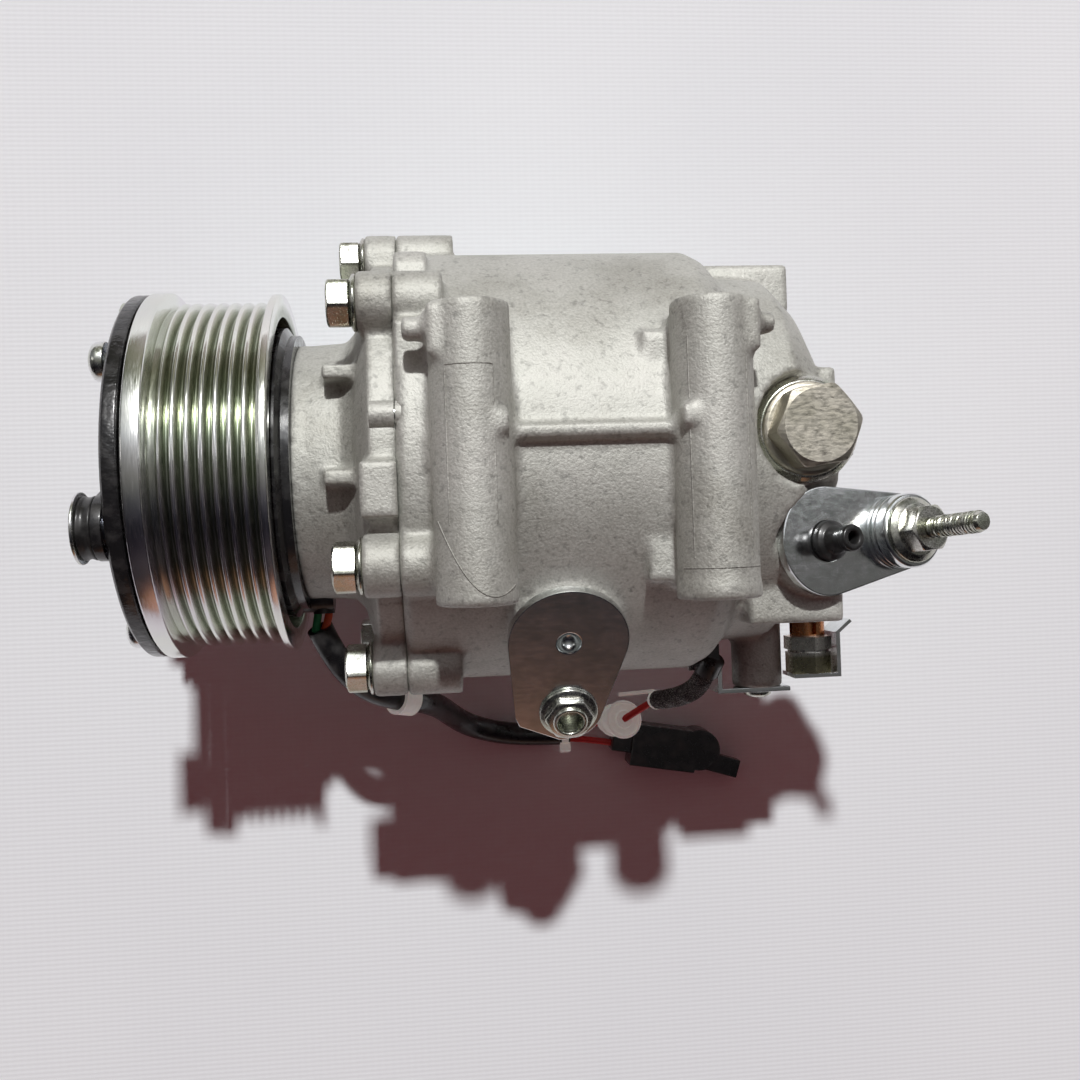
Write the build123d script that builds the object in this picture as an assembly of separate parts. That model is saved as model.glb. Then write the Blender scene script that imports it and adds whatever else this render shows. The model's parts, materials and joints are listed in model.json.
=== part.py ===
"""Scroll-type automotive air-conditioning compressor with a seven-groove magnetic clutch.

Millimetres. +X runs along the shaft from the clutch to the rear cover, +Z is up, and the
compressor lies on its lower mounting tubes. The origin is on the shaft axis, in the middle
plane of the belt grooves.
"""
import os
from math import atan2, cos, degrees, pi, radians, sin, sqrt, tan

from build123d import *

# ---------------------------------------------------------------- driving dimensions
# belt pulley
GROOVE_COUNT = 7
GROOVE_PITCH = 3.56
GROOVE_DEPTH = 2.9
CREST_RADIUS = 50.0
CREST_FLAT = 0.9
GROOVE_FLOOR_FLAT = 0.6
FRONT_BAND_RADIUS = 53.0
FRONT_BAND_WIDTH = 5.2
BAND_RECESS_DEPTH = 1.8
REAR_FLANGE_RADIUS = 52.2
REAR_FLANGE_WIDTH = 2.3
PULLEY_FRONT_X = -21.0
PULLEY_WEB_THICKNESS = 7.5
RIM_INNER_RADIUS = 44.9
PULLEY_HUB_WALL = 5.0
WEB_SLOT_COUNT = 6
WEB_SLOT_RADIUS = 38.0
WEB_SLOT_WIDTH = 3.0

# clutch plate and hub
ARMATURE_RADIUS = 52.5
ARMATURE_THICKNESS = 4.6
ARMATURE_BORE_RADIUS = 25.0
AIR_GAP = 0.5
SPRING_THICKNESS = 0.5
SPRING_WIDTH = 11.0
HUB_PLATE_THICKNESS = 2.6
HUB_BOSS_RADIUS = 12.0
LOBE_RADIUS = 44.5
RIVET_ANGLES = (40.0, 160.0, 280.0)
STOP_ANGLES = (100.0, 220.0, 340.0)
RIVET_RADIUS = 2.6
RIVET_HEAD_RADIUS = 5.4
RIVET_HEAD_HEIGHT = 3.4
LOBE_END_RADIUS = 8.6
STOP_RADIUS = 8.4
STOP_LENGTH = 4.0
CAP_RADIUS = 9.4
CAP_THICKNESS = 1.1
HUB_BOLT_RADIUS = 3.0
HUB_BOLT_LENGTH = 22.0
SHIM_THICKNESS = 0.8

# pulley bearing
PULLEY_BEARING_BORE = 17.5
PULLEY_BEARING_OUTER = 26.0
PULLEY_BEARING_WIDTH = 20.0
PULLEY_BALL_RADIUS = 2.3
PULLEY_BALLS_PER_ROW = 18

# coil
COIL_OUTER_RADIUS = 42.6
COIL_INNER_RADIUS = 33.4
COIL_WALL = 1.5
COIL_FRONT_X = -10.0
COIL_REAR_RADIUS = 40.4
COIL_PLATE_THICKNESS = 1.9

# front housing
NOSE_FACE_X = 18.9
NOSE_RADIUS = 37.4
SNOUT_TIP_X = -16.2
COIL_SEAT_RADIUS = 20.9
FLANGE_FACE_X = 38.3
PARTING_X = 47.5
FLANGE_RADIUS = 59.5
SPIGOT_LENGTH = 7.5
SPIGOT_WALL = 5.0
CRANKCASE_RADIUS = 47.5

# case bolts
BOLT_CIRCLE_RADIUS = 62.4
BOLT_ANGLES = (90.0, 40.0, -26.0, -63.0, -122.0, -163.0, 150.0)
BOLT_DEPTHS = (17.0, 13.0, 13.0, 15.0, 13.0, 13.0, 13.0)
BOLT_RADIUS = 3.4
EAR_RADIUS = 8.0
BOLT_HEAD_AF = 12.0
BOLT_HEAD_HEIGHT = 5.6
BOLT_WASHER_RADIUS = 7.4
BOLT_WASHER_THICKNESS = 1.8
DOWEL_RADIUS = 2.5
DOWEL_ANGLES = (10.0, -135.0)

# shell
SHELL_RADIUS = 62.5
SHELL_BORE_RADIUS = 55.3
SHELL_REAR_X = 174.0
REAR_BODY_RADIUS = 55.0
BODY_END_X = 130.0
REAR_CHAMBER_RADIUS = 45.0
REAR_CHAMBER_END_X = 157.0

# mounting tubes, all along Y
UPPER_TUBE_Z = 64.0
LOWER_TUBE_Z = -62.0
TUBE_X = (66.2, 126.5)
TUBE_RADIUS = 10.2
LOWER_TUBE_RADIUS = 9.0
TUBE_LOW_Y = -37.8
TUBE_HIGH_Y = 36.0
LOWER_TUBE_HALF_LENGTH = 30.0
MOUNT_BORE_RADIUS = 4.25
FLOOR_Z = LOWER_TUBE_Z - LOWER_TUBE_RADIUS

# shaft and its bearings
ORBIT_RADIUS = 4.5
JOURNAL_RADIUS = 8.0
SPLINE_RADIUS = 6.5
NEEDLE_RADIUS = 1.4
NEEDLE_SHELL_WALL = 1.2
NEEDLE_COUNT = 14
RUNNING_GAP = 0.03
MAIN_BEARING_X = 24.5
MAIN_BEARING_BORE = 15.0
MAIN_BEARING_OUTER = 31.0
MAIN_BEARING_WIDTH = 16.0
MAIN_BALL_RADIUS = 4.7
MAIN_BALL_COUNT = 9
CRANK_DISC_RADIUS = 20.0
CRANK_PIN_RADIUS = 6.0
BUSHING_RADIUS = 12.5
COUNTERWEIGHT_RADIUS = 40.0

# scroll set
WALL_THICKNESS = 4.4
FLANK_GAP = 0.3
TIP_GAP = 0.2
WRAP_START = 1.25 * pi
WRAP_END = 4.9 * pi
WRAP_HEIGHT = 31.0
ORBITING_PLATE_X = 60.0
SCROLL_PLATE_THICKNESS = 7.0
ORBITING_PLATE_RADIUS = 50.0
FIXED_PLATE_THICKNESS = 10.0
DISCHARGE_HOLE_RADIUS = 4.0
PIN_RING_COUNT = 4
PIN_RING_CIRCLE = 40.0
ANTI_ROTATION_PIN_RADIUS = 3.0
THRUST_PLATE_INNER_RADIUS = 26.5

# discharge reed
REED_THICKNESS = 0.5
REED_WIDTH = 10.0
REED_ROOT_Y = -24.0
REED_TIP_Y = 7.0
REED_SCREW_RADIUS = 2.0

# suction port, on the lower front of the body
SUCTION_CENTRE = (90.0, -48.0, 46.0)
SUCTION_TILT = 30.0
SUCTION_NECK_RADIUS = 14.5
SUCTION_BORE_RADIUS = 8.0
SUCTION_BOLT_OFFSET = 22.5
SUCTION_BOLT_RADIUS = 3.4
PORT_PLATE_THICKNESS = 3.0

# discharge port, on the rear block
DISCHARGE_CENTRE = (161.0, -25.5, 41.0)
DISCHARGE_LEAN = 20.0
DISCHARGE_BORE_RADIUS = 7.0
DISCHARGE_STUD_OFFSET = 25.5
DISCHARGE_PLATE_RADIUS = 15.0
DISCHARGE_END_RADIUS = 11.0
STUD_RADIUS = 2.6
STUD_LENGTH = 33.0
STUD_THREAD_RADIUS = 3.0
STUD_TIP_RADIUS = 2.3
SPACER_RADIUS = 10.4
SPACER_HEIGHT = 5.5

# service plug, relief valve and temperature switch
PLUG_CENTRE = (156.0, 4.8, 46.0)
PLUG_AF = 20.5
PLUG_HEAD_HEIGHT = 9.0
PLUG_WASHER_RADIUS = 14.4
PLUG_WASHER_THICKNESS = 2.4
PLUG_THREAD_RADIUS = 8.5
REAR_BLOCK = (141.0, 167.5, -47.5, 22.5, 40.0)
RELIEF_X = 168.7
RELIEF_Z = 4.0
SENSOR_BOSS_X = 153.6
SENSOR_BOSS_RADIUS = 7.6
SENSOR_BOSS_END_Y = -69.6
SENSOR_SHEET = 1.4
SENSOR_SCREW_RADIUS = 2.4

# electrical leads: chosen routes
COIL_LEAD_RADIUS = 4.0
COIL_LEAD_ROUTE = (
    (20.5, -46.5, -4.0), (24.0, -55.5, -7.5), (30.5, -64.5, -11.5), (39.5, -70.0, -17.5),
    (49.0, -72.8, -26.5), (55.0, -76.6, -38.5), (59.0, -81.6, -50.0), (65.0, -87.0, -59.0),
    (75.0, -91.2, -65.0), (88.5, -93.2, -66.6), (102.0, -93.2, -66.6))
THERMAL_LEAD_RADIUS = 3.0
THERMAL_LEAD_ROUTE = (
    (135.4, -63.2, 9.8), (134.0, -67.6, 6.8), (132.2, -70.6, 0.8), (130.6, -73.0, -7.4),
    (129.5, -74.9, -17.0), (128.9, -76.7, -27.0), (128.6, -77.9, -36.0))
WIRE_RADIUS = 1.2

# derived places
GROOVE_BAND = GROOVE_COUNT * GROOVE_PITCH / 2
PULLEY_REAR_X = GROOVE_BAND + REAR_FLANGE_WIDTH
ARMATURE_REAR_X = PULLEY_FRONT_X - AIR_GAP
ARMATURE_FRONT_X = ARMATURE_REAR_X - ARMATURE_THICKNESS
HUB_PLATE_REAR_X = ARMATURE_FRONT_X - SPRING_THICKNESS
HUB_PLATE_FRONT_X = HUB_PLATE_REAR_X - HUB_PLATE_THICKNESS
BEARING_REAR_X = SNOUT_TIP_X + 2.2 + PULLEY_BEARING_WIDTH
BEARING_FRONT_X = BEARING_REAR_X - PULLEY_BEARING_WIDTH
SCROLL_BASE_RADIUS = (ORBIT_RADIUS + WALL_THICKNESS + FLANK_GAP) / pi
ORBITING_WRAP_X = ORBITING_PLATE_X + SCROLL_PLATE_THICKNESS
FIXED_PLATE_X = ORBITING_WRAP_X + WRAP_HEIGHT
FIXED_PLATE_END_X = FIXED_PLATE_X + FIXED_PLATE_THICKNESS
THRUST_PLATE_X = PARTING_X + SPIGOT_LENGTH
RING_INNER_RADIUS = ANTI_ROTATION_PIN_RADIUS + ORBIT_RADIUS + 0.1
NEEDLE_PITCH_RADIUS = JOURNAL_RADIUS + NEEDLE_RADIUS + RUNNING_GAP
NEEDLE_SHELL_BORE = NEEDLE_PITCH_RADIUS + NEEDLE_RADIUS + RUNNING_GAP
NEEDLE_SHELL_RADIUS = NEEDLE_SHELL_BORE + NEEDLE_SHELL_WALL
MAIN_BEARING_END_X = MAIN_BEARING_X + MAIN_BEARING_WIDTH
SCROLL_NEEDLE_PITCH = BUSHING_RADIUS + NEEDLE_RADIUS + RUNNING_GAP
SCROLL_BOSS_BORE = SCROLL_NEEDLE_PITCH + NEEDLE_RADIUS + RUNNING_GAP

# places shared by several groups
SHAFT_STEP_X = -15.6
SHAFT_FRONT_X = HUB_PLATE_FRONT_X + 2.0
SEAL_BORE_RADIUS = 13.4
SEAL_X = -13.4
SEAL_END_X = -1.0
NEEDLE_START_X = 3.0
NEEDLE_END_X = 18.0
SNAP_BEARING_RADIUS = PULLEY_BEARING_BORE - 1.1
DOWEL_CIRCLE_RADIUS = 58.6
EXIT_RADIUS = 4.6
EXIT_CENTRE = (-37.0, -3.0)
EXIT_LENGTH = 6.4
EXIT_FACE_Y = -42.0
BOSS_FRONT_X = 46.0
REED_SCREW_Y = -19.0
REED_SPACER_RADIUS = 3.2
CONNECTOR_CENTRE = (136.0, -99.5, FLOOR_Z + 5.6)
CONNECTOR_TURN = -10.0
BULLET_FRONT = (118.6, -84.9, -41.0)
BULLET_DIRECTION = (-0.24, -0.17, -0.95)
BULLET_FLANGE_RADIUS = 6.5
BULLET_LENGTH = 16.0
SUCTION_PORT = Pos(*SUCTION_CENTRE) * Rot(SUCTION_TILT, 0, 0)
DISCHARGE_PORT = Pos(*DISCHARGE_CENTRE) * Rot(0, DISCHARGE_LEAN, 0) * Rot(-4, 0, 4)


# ---------------------------------------------------------------- small helpers
def polar(radius, angle):
    """Y and Z of a point at an angle turned from +Z towards +Y."""
    return radius * sin(radians(angle)), radius * cos(radians(angle))


def rod_x(radius, x0, x1, y=0.0, z=0.0):
    """Solid cylinder along X."""
    return Pos((x0 + x1) / 2, y, z) * Rot(0, 90, 0) * Cylinder(radius, x1 - x0)


def ring_x(outer, inner, x0, x1, y=0.0, z=0.0):
    """Tube along X."""
    return rod_x(outer, x0, x1, y, z) - rod_x(inner, x0 - 1, x1 + 1, y, z)


def rod_y(radius, y0, y1, x, z):
    """Solid cylinder along Y."""
    return Pos(x, (y0 + y1) / 2, z) * Rot(90, 0, 0) * Cylinder(radius, y1 - y0)


def block(x0, x1, y0, y1, z0, z1):
    """Box given by its six faces."""
    return Pos((x0 + x1) / 2, (y0 + y1) / 2, (z0 + z1) / 2) * Box(x1 - x0, y1 - y0, z1 - z0)


def hexagon(across_flats, height):
    """Hexagonal prism standing on Z = 0."""
    return extrude(RegularPolygon(across_flats / 2, 6, major_radius=False), height)


def chamfered_hexagon(across_flats, height):
    """Hexagonal prism with the usual turned chamfer on its free end."""
    corner = across_flats / sqrt(3)
    drop = (corner - 0.47 * across_flats) * tan(radians(30))
    flat = 0.47 * across_flats
    outline = make_face(Polyline((0, 0, 0), (corner, 0, 0), (corner, 0, height - drop),
                                 (flat, 0, height), (0, 0, height), close=True))
    return hexagon(across_flats, height) & revolve(outline, axis=Axis.Z)


def rod(radius, z0, z1):
    """Solid cylinder along a local Z."""
    return Pos(0, 0, (z0 + z1) / 2) * Cylinder(radius, z1 - z0)


def tube(outer, inner, z0, z1):
    """Tube along a local Z."""
    return rod(outer, z0, z1) - rod(inner, z0 - 1, z1 + 1)


def turned(points):
    """Solid of revolution about X from (x, radius) corners."""
    return revolve(make_face(Polyline(*[(x, 0, r) for x, r in points], close=True)), axis=Axis.X)


def along_x(x, y=0.0, z=0.0, spin=0.0, forward=True):
    """Place whose local Z runs along +X, or along -X when forward is false."""
    return Pos(x, y, z) * Rot(spin, 0, 0) * Rot(0, 90 if forward else -90, 0)


def around_x(count, start=0.0):
    """Equally spaced angles, in degrees."""
    return [start + i * 360 / count for i in range(count)]


def ball_row(count, ball_radius, pitch_radius, x, start=0.0):
    """Balls of one bearing row."""
    row = []
    for angle in around_x(count, start):
        y, z = polar(pitch_radius, angle)
        row.append(Pos(x, y, z) * Sphere(ball_radius))
    return row


def ball_pockets(count, ball_radius, pitch_radius, x, start=0.0):
    """Radial holes of a bearing cage, one round each ball of a row."""
    pockets = []
    for angle in around_x(count, start):
        place = Pos(x, 0, 0) * Rot(-angle, 0, 0)
        pockets.append(place * rod(ball_radius + RUNNING_GAP, pitch_radius - 5, pitch_radius + 5))
    return pockets


def race_groove(ball_radius, pitch_radius, x):
    """Torus that leaves a running gap round the balls of a row."""
    return Pos(x, 0, 0) * Rot(0, 90, 0) * Torus(pitch_radius, ball_radius + RUNNING_GAP)


def needle_row(radius, pitch_radius, count, x0, x1, y=0.0, z=0.0):
    """Needle rollers lying along X."""
    needles = []
    for angle in around_x(count):
        dy, dz = polar(pitch_radius, angle)
        needles.append(rod_x(radius, x0, x1, y + dy, z + dz))
    return needles


def route_fillets(points):
    """Largest tangent arc at each inner corner of a lead's route."""
    corners = [Vector(*p) for p in points]
    radii = []
    for before, here, after in zip(corners, corners[1:], corners[2:]):
        run_in = here - before
        run_out = after - here
        half_turn = radians(run_in.get_angle(run_out)) / 2
        radii.append(0.45 * min(run_in.length, run_out.length) / tan(half_turn))
    return radii


def lead(points, radius):
    """Round flexible lead: straight runs joined by tangent arcs."""
    radii = route_fillets(points)
    path = FilletPolyline(*points, radius=radii)
    section = Plane(origin=path @ 0, z_dir=path % 0) * Circle(radius)
    print("lead arcs", [round(r, 1) for r in radii], "length", round(path.length, 1))
    return sweep(section, path=path)


def straight_wire(start, end, radius):
    """Short straight wire between two points."""
    run = Vector(*end) - Vector(*start)
    return Plane(origin=start, z_dir=run).location * rod(radius, 0, run.length)


PARTS = {}


def add(name, *solids):
    """Store the separate solids of one node."""
    PARTS[name] = solids[0] if len(solids) == 1 else Compound(list(solids))


# ---------------------------------------------------------------- clutch: pulley side
def build_pulley():
    """Grooved rotor, its bearing and the ring that keeps the bearing on the snout."""
    band_end = PULLEY_FRONT_X + FRONT_BAND_WIDTH
    floor_radius = CREST_RADIUS - GROOVE_DEPTH
    outline = [(PULLEY_FRONT_X, FRONT_BAND_RADIUS), (band_end, FRONT_BAND_RADIUS),
               (band_end + 0.6, CREST_RADIUS - BAND_RECESS_DEPTH),
               (-GROOVE_BAND - 0.8, CREST_RADIUS - BAND_RECESS_DEPTH), (-GROOVE_BAND, CREST_RADIUS)]
    for i in range(GROOVE_COUNT):
        centre = (i - (GROOVE_COUNT - 1) / 2) * GROOVE_PITCH
        half_top = (GROOVE_PITCH - CREST_FLAT) / 2
        outline += [(centre - half_top, CREST_RADIUS),
                    (centre - GROOVE_FLOOR_FLAT / 2, floor_radius),
                    (centre + GROOVE_FLOOR_FLAT / 2, floor_radius),
                    (centre + half_top, CREST_RADIUS)]
    web_rear = PULLEY_FRONT_X + PULLEY_WEB_THICKNESS
    hub_radius = PULLEY_BEARING_OUTER + PULLEY_HUB_WALL
    outline += [(GROOVE_BAND, CREST_RADIUS), (GROOVE_BAND + 0.2, REAR_FLANGE_RADIUS),
                (PULLEY_REAR_X, REAR_FLANGE_RADIUS), (PULLEY_REAR_X, RIM_INNER_RADIUS + 0.8),
                (web_rear + 1.5, RIM_INNER_RADIUS), (web_rear, RIM_INNER_RADIUS - 1.5),
                (web_rear, hub_radius + 1.0), (web_rear + 1.0, hub_radius),
                (BEARING_REAR_X + 6, hub_radius), (BEARING_REAR_X + 6, PULLEY_BEARING_OUTER),
                (BEARING_FRONT_X, PULLEY_BEARING_OUTER),
                (BEARING_FRONT_X, PULLEY_BEARING_OUTER - 2), (PULLEY_FRONT_X, PULLEY_BEARING_OUTER - 2)]
    rotor = turned(outline)
    slot_arc = 360 / WEB_SLOT_COUNT - 16
    for angle in around_x(WEB_SLOT_COUNT, 12):
        rotor -= web_slot(angle, slot_arc, web_rear)
    add("pulley_rotor", rotor)

    pitch = (PULLEY_BEARING_BORE + PULLEY_BEARING_OUTER) / 2
    rows = (BEARING_FRONT_X + 5.5, BEARING_REAR_X - 5.5)
    inner = ring_x(pitch - 1.7, PULLEY_BEARING_BORE, BEARING_FRONT_X, BEARING_REAR_X)
    outer = ring_x(PULLEY_BEARING_OUTER, pitch + 1.7, BEARING_FRONT_X, BEARING_REAR_X)
    cage = ring_x(pitch + 0.7, pitch - 0.7, BEARING_FRONT_X + 1.5, BEARING_REAR_X - 1.5)
    balls = []
    for index, x in enumerate(rows):
        groove = race_groove(PULLEY_BALL_RADIUS, pitch, x)
        inner -= groove
        outer -= groove
        start = index * 180 / PULLEY_BALLS_PER_ROW
        balls += ball_row(PULLEY_BALLS_PER_ROW, PULLEY_BALL_RADIUS, pitch, x, start)
        for pocket in ball_pockets(PULLEY_BALLS_PER_ROW, PULLEY_BALL_RADIUS, pitch, x, start):
            cage -= pocket
    add("pulley_bearing_inner_race", inner)
    add("pulley_bearing_outer_race", outer)
    add("pulley_bearing_ball_set", cage, *balls)


def web_slot(angle, arc, web_rear):
    """Curved through slot in the friction face of the rotor."""
    outer = WEB_SLOT_RADIUS + WEB_SLOT_WIDTH / 2
    inner = WEB_SLOT_RADIUS - WEB_SLOT_WIDTH / 2
    sector = ring_x(outer, inner, PULLEY_FRONT_X - 1, web_rear + 1)
    reach = 3 * outer
    half = radians(arc / 2)
    wedge = make_face(Polyline((0, 0), (reach * cos(half), -reach * sin(half)),
                               (reach * cos(half), reach * sin(half)), close=True))
    cutter = extrude(wedge, web_rear - PULLEY_FRONT_X + 4)
    placed = along_x(PULLEY_FRONT_X - 2, spin=-angle) * Rot(0, 0, 180) * cutter
    return sector & placed


# ---------------------------------------------------------------- clutch: shaft side
def build_clutch_plate():
    """Armature plate with its rivets and leaf springs, and the hub that carries them."""
    armature = ring_x(ARMATURE_RADIUS, ARMATURE_BORE_RADIUS, ARMATURE_FRONT_X, ARMATURE_REAR_X)
    for angle in RIVET_ANGLES:
        y, z = polar(LOBE_RADIUS, angle)
        armature -= rod_x(RIVET_RADIUS, ARMATURE_FRONT_X - 1, ARMATURE_REAR_X + 1, y, z)
    add("armature_plate", armature)

    rivets = []
    for angle in RIVET_ANGLES:
        y, z = polar(LOBE_RADIUS, angle)
        head = along_x(ARMATURE_FRONT_X - SPRING_THICKNESS, y, z, forward=False)
        dome = Pos(0, 0, RIVET_HEAD_HEIGHT - 4.0) * Sphere(RIVET_HEAD_RADIUS + 1.0)
        dome = dome & rod(RIVET_HEAD_RADIUS, RIVET_HEAD_HEIGHT, RIVET_HEAD_HEIGHT + 6)
        dome += rod(RIVET_HEAD_RADIUS, 0, RIVET_HEAD_HEIGHT)
        shank = rod_x(RIVET_RADIUS, ARMATURE_FRONT_X - SPRING_THICKNESS, ARMATURE_REAR_X - 0.4, y, z)
        rivets.append(shank + head * dome)
    add("armature_rivets", *rivets)

    springs = []
    for rivet_angle, stop_angle in zip(RIVET_ANGLES, STOP_ANGLES):
        springs.append(leaf_spring(rivet_angle, stop_angle))
    add("armature_springs", *springs)

    build_hub()


def leaf_spring(rivet_angle, stop_angle):
    """Flat strap from an armature rivet to the next lobe of the hub plate."""
    start = Vector(0, *polar(LOBE_RADIUS, rivet_angle))
    end = Vector(0, *polar(LOBE_RADIUS, stop_angle))
    run = end - start
    strap = SlotCenterToCenter(run.length, SPRING_WIDTH)
    middle = (start + end) * 0.5
    place = Plane(origin=(HUB_PLATE_REAR_X, middle.Y, middle.Z), x_dir=run, z_dir=(1, 0, 0))
    body = extrude(place * strap, SPRING_THICKNESS)
    for point in (start, end):
        body -= rod_x(RIVET_RADIUS, HUB_PLATE_REAR_X - 1, ARMATURE_FRONT_X + 1, point.Y, point.Z)
    return body


def build_hub():
    """Three-lobed hub plate, its rubber stops, their caps, the shim and the centre bolt."""
    shim_x = SHAFT_STEP_X - SHIM_THICKNESS
    plate = rod_x(27.0, HUB_PLATE_FRONT_X, HUB_PLATE_REAR_X)
    for angle in STOP_ANGLES:
        y, z = polar(LOBE_RADIUS, angle)
        plate += rod_x(LOBE_END_RADIUS, HUB_PLATE_FRONT_X, HUB_PLATE_REAR_X, y, z)
        arm = block(HUB_PLATE_FRONT_X, HUB_PLATE_REAR_X, 0, LOBE_RADIUS,
                    -LOBE_END_RADIUS, LOBE_END_RADIUS)
        plate += Rot(degrees(atan2(z, y)), 0, 0) * arm
    hub = plate + rod_x(HUB_BOSS_RADIUS, HUB_PLATE_FRONT_X - 2.0, shim_x)
    hub -= rod_x(SPLINE_RADIUS, HUB_PLATE_FRONT_X + 2.0, shim_x + 1)
    hub -= rod_x(HUB_BOLT_RADIUS, HUB_PLATE_FRONT_X - 4, shim_x + 1)
    for angle in STOP_ANGLES:
        y, z = polar(LOBE_RADIUS, angle)
        hub -= rod_x(RIVET_RADIUS, HUB_PLATE_FRONT_X - 1, HUB_PLATE_REAR_X + 1, y, z)
    add("clutch_hub", hub)
    add("clutch_shim", ring_x(10.5, SPLINE_RADIUS, shim_x, SHAFT_STEP_X))

    rubbers = []
    caps = []
    for angle in STOP_ANGLES:
        y, z = polar(LOBE_RADIUS, angle)
        cap_x = HUB_PLATE_FRONT_X - STOP_LENGTH
        rubbers.append(ring_x(STOP_RADIUS, RIVET_RADIUS, cap_x, HUB_PLATE_FRONT_X, y, z))
        cap = rod_x(CAP_RADIUS, cap_x - CAP_THICKNESS, cap_x, y, z)
        caps.append(cap + rod_x(RIVET_RADIUS, cap_x, HUB_PLATE_REAR_X + SPRING_THICKNESS, y, z))
    add("hub_stop_rubbers", *rubbers)
    add("hub_stop_caps", *caps)

    head_x = HUB_PLATE_FRONT_X - 2.0
    seat = along_x(head_x, forward=False)
    bolt = seat * (rod(7.5, 0, 1.4) + Pos(0, 0, 1.4) * chamfered_hexagon(10.0, 4.4))
    add("hub_bolt", bolt + rod_x(HUB_BOLT_RADIUS, head_x, head_x + HUB_BOLT_LENGTH))


# ---------------------------------------------------------------- coil
def build_coil():
    """Steel coil shell, moulded winding with its lead exit, and the retaining rings."""
    plate_x = NOSE_FACE_X - COIL_PLATE_THICKNESS
    shell = turned([(COIL_FRONT_X, COIL_OUTER_RADIUS), (PULLEY_REAR_X + 0.6, COIL_OUTER_RADIUS),
                    (PULLEY_REAR_X + 2.0, COIL_REAR_RADIUS), (NOSE_FACE_X, COIL_REAR_RADIUS),
                    (NOSE_FACE_X, COIL_SEAT_RADIUS), (plate_x, COIL_SEAT_RADIUS),
                    (plate_x, COIL_INNER_RADIUS - 0.5), (COIL_FRONT_X, COIL_INNER_RADIUS),
                    (COIL_FRONT_X, COIL_INNER_RADIUS + COIL_WALL),
                    (plate_x - 2, COIL_INNER_RADIUS + COIL_WALL),
                    (plate_x - 2, COIL_OUTER_RADIUS - COIL_WALL),
                    (COIL_FRONT_X, COIL_OUTER_RADIUS - COIL_WALL)])
    y, z = EXIT_CENTRE
    shell -= rod_x(EXIT_RADIUS, plate_x - 3, NOSE_FACE_X + 1, y, z)
    add("coil_shell", shell)

    winding = ring_x(COIL_OUTER_RADIUS - COIL_WALL, COIL_INNER_RADIUS + COIL_WALL,
                     COIL_FRONT_X + 0.6, plate_x - 2)
    winding += rod_x(EXIT_RADIUS, plate_x - 3, NOSE_FACE_X + EXIT_LENGTH, y, z)
    winding += rod_y(EXIT_RADIUS - 1.4, EXIT_FACE_Y, y, NOSE_FACE_X + EXIT_LENGTH / 2, z)
    add("coil_winding", winding)

    rings = [
        ring_x(SNAP_BEARING_RADIUS + 2.0, SNAP_BEARING_RADIUS, SNOUT_TIP_X + 1.0, BEARING_FRONT_X),
        ring_x(COIL_SEAT_RADIUS + 2.4, COIL_SEAT_RADIUS - 0.9, plate_x - 1.4, plate_x),
        ring_x(SEAL_BORE_RADIUS + 0.9, SEAL_BORE_RADIUS - 1.8, SEAL_X - 1.2, SEAL_X)]
    add("snap_rings", *rings)


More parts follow.
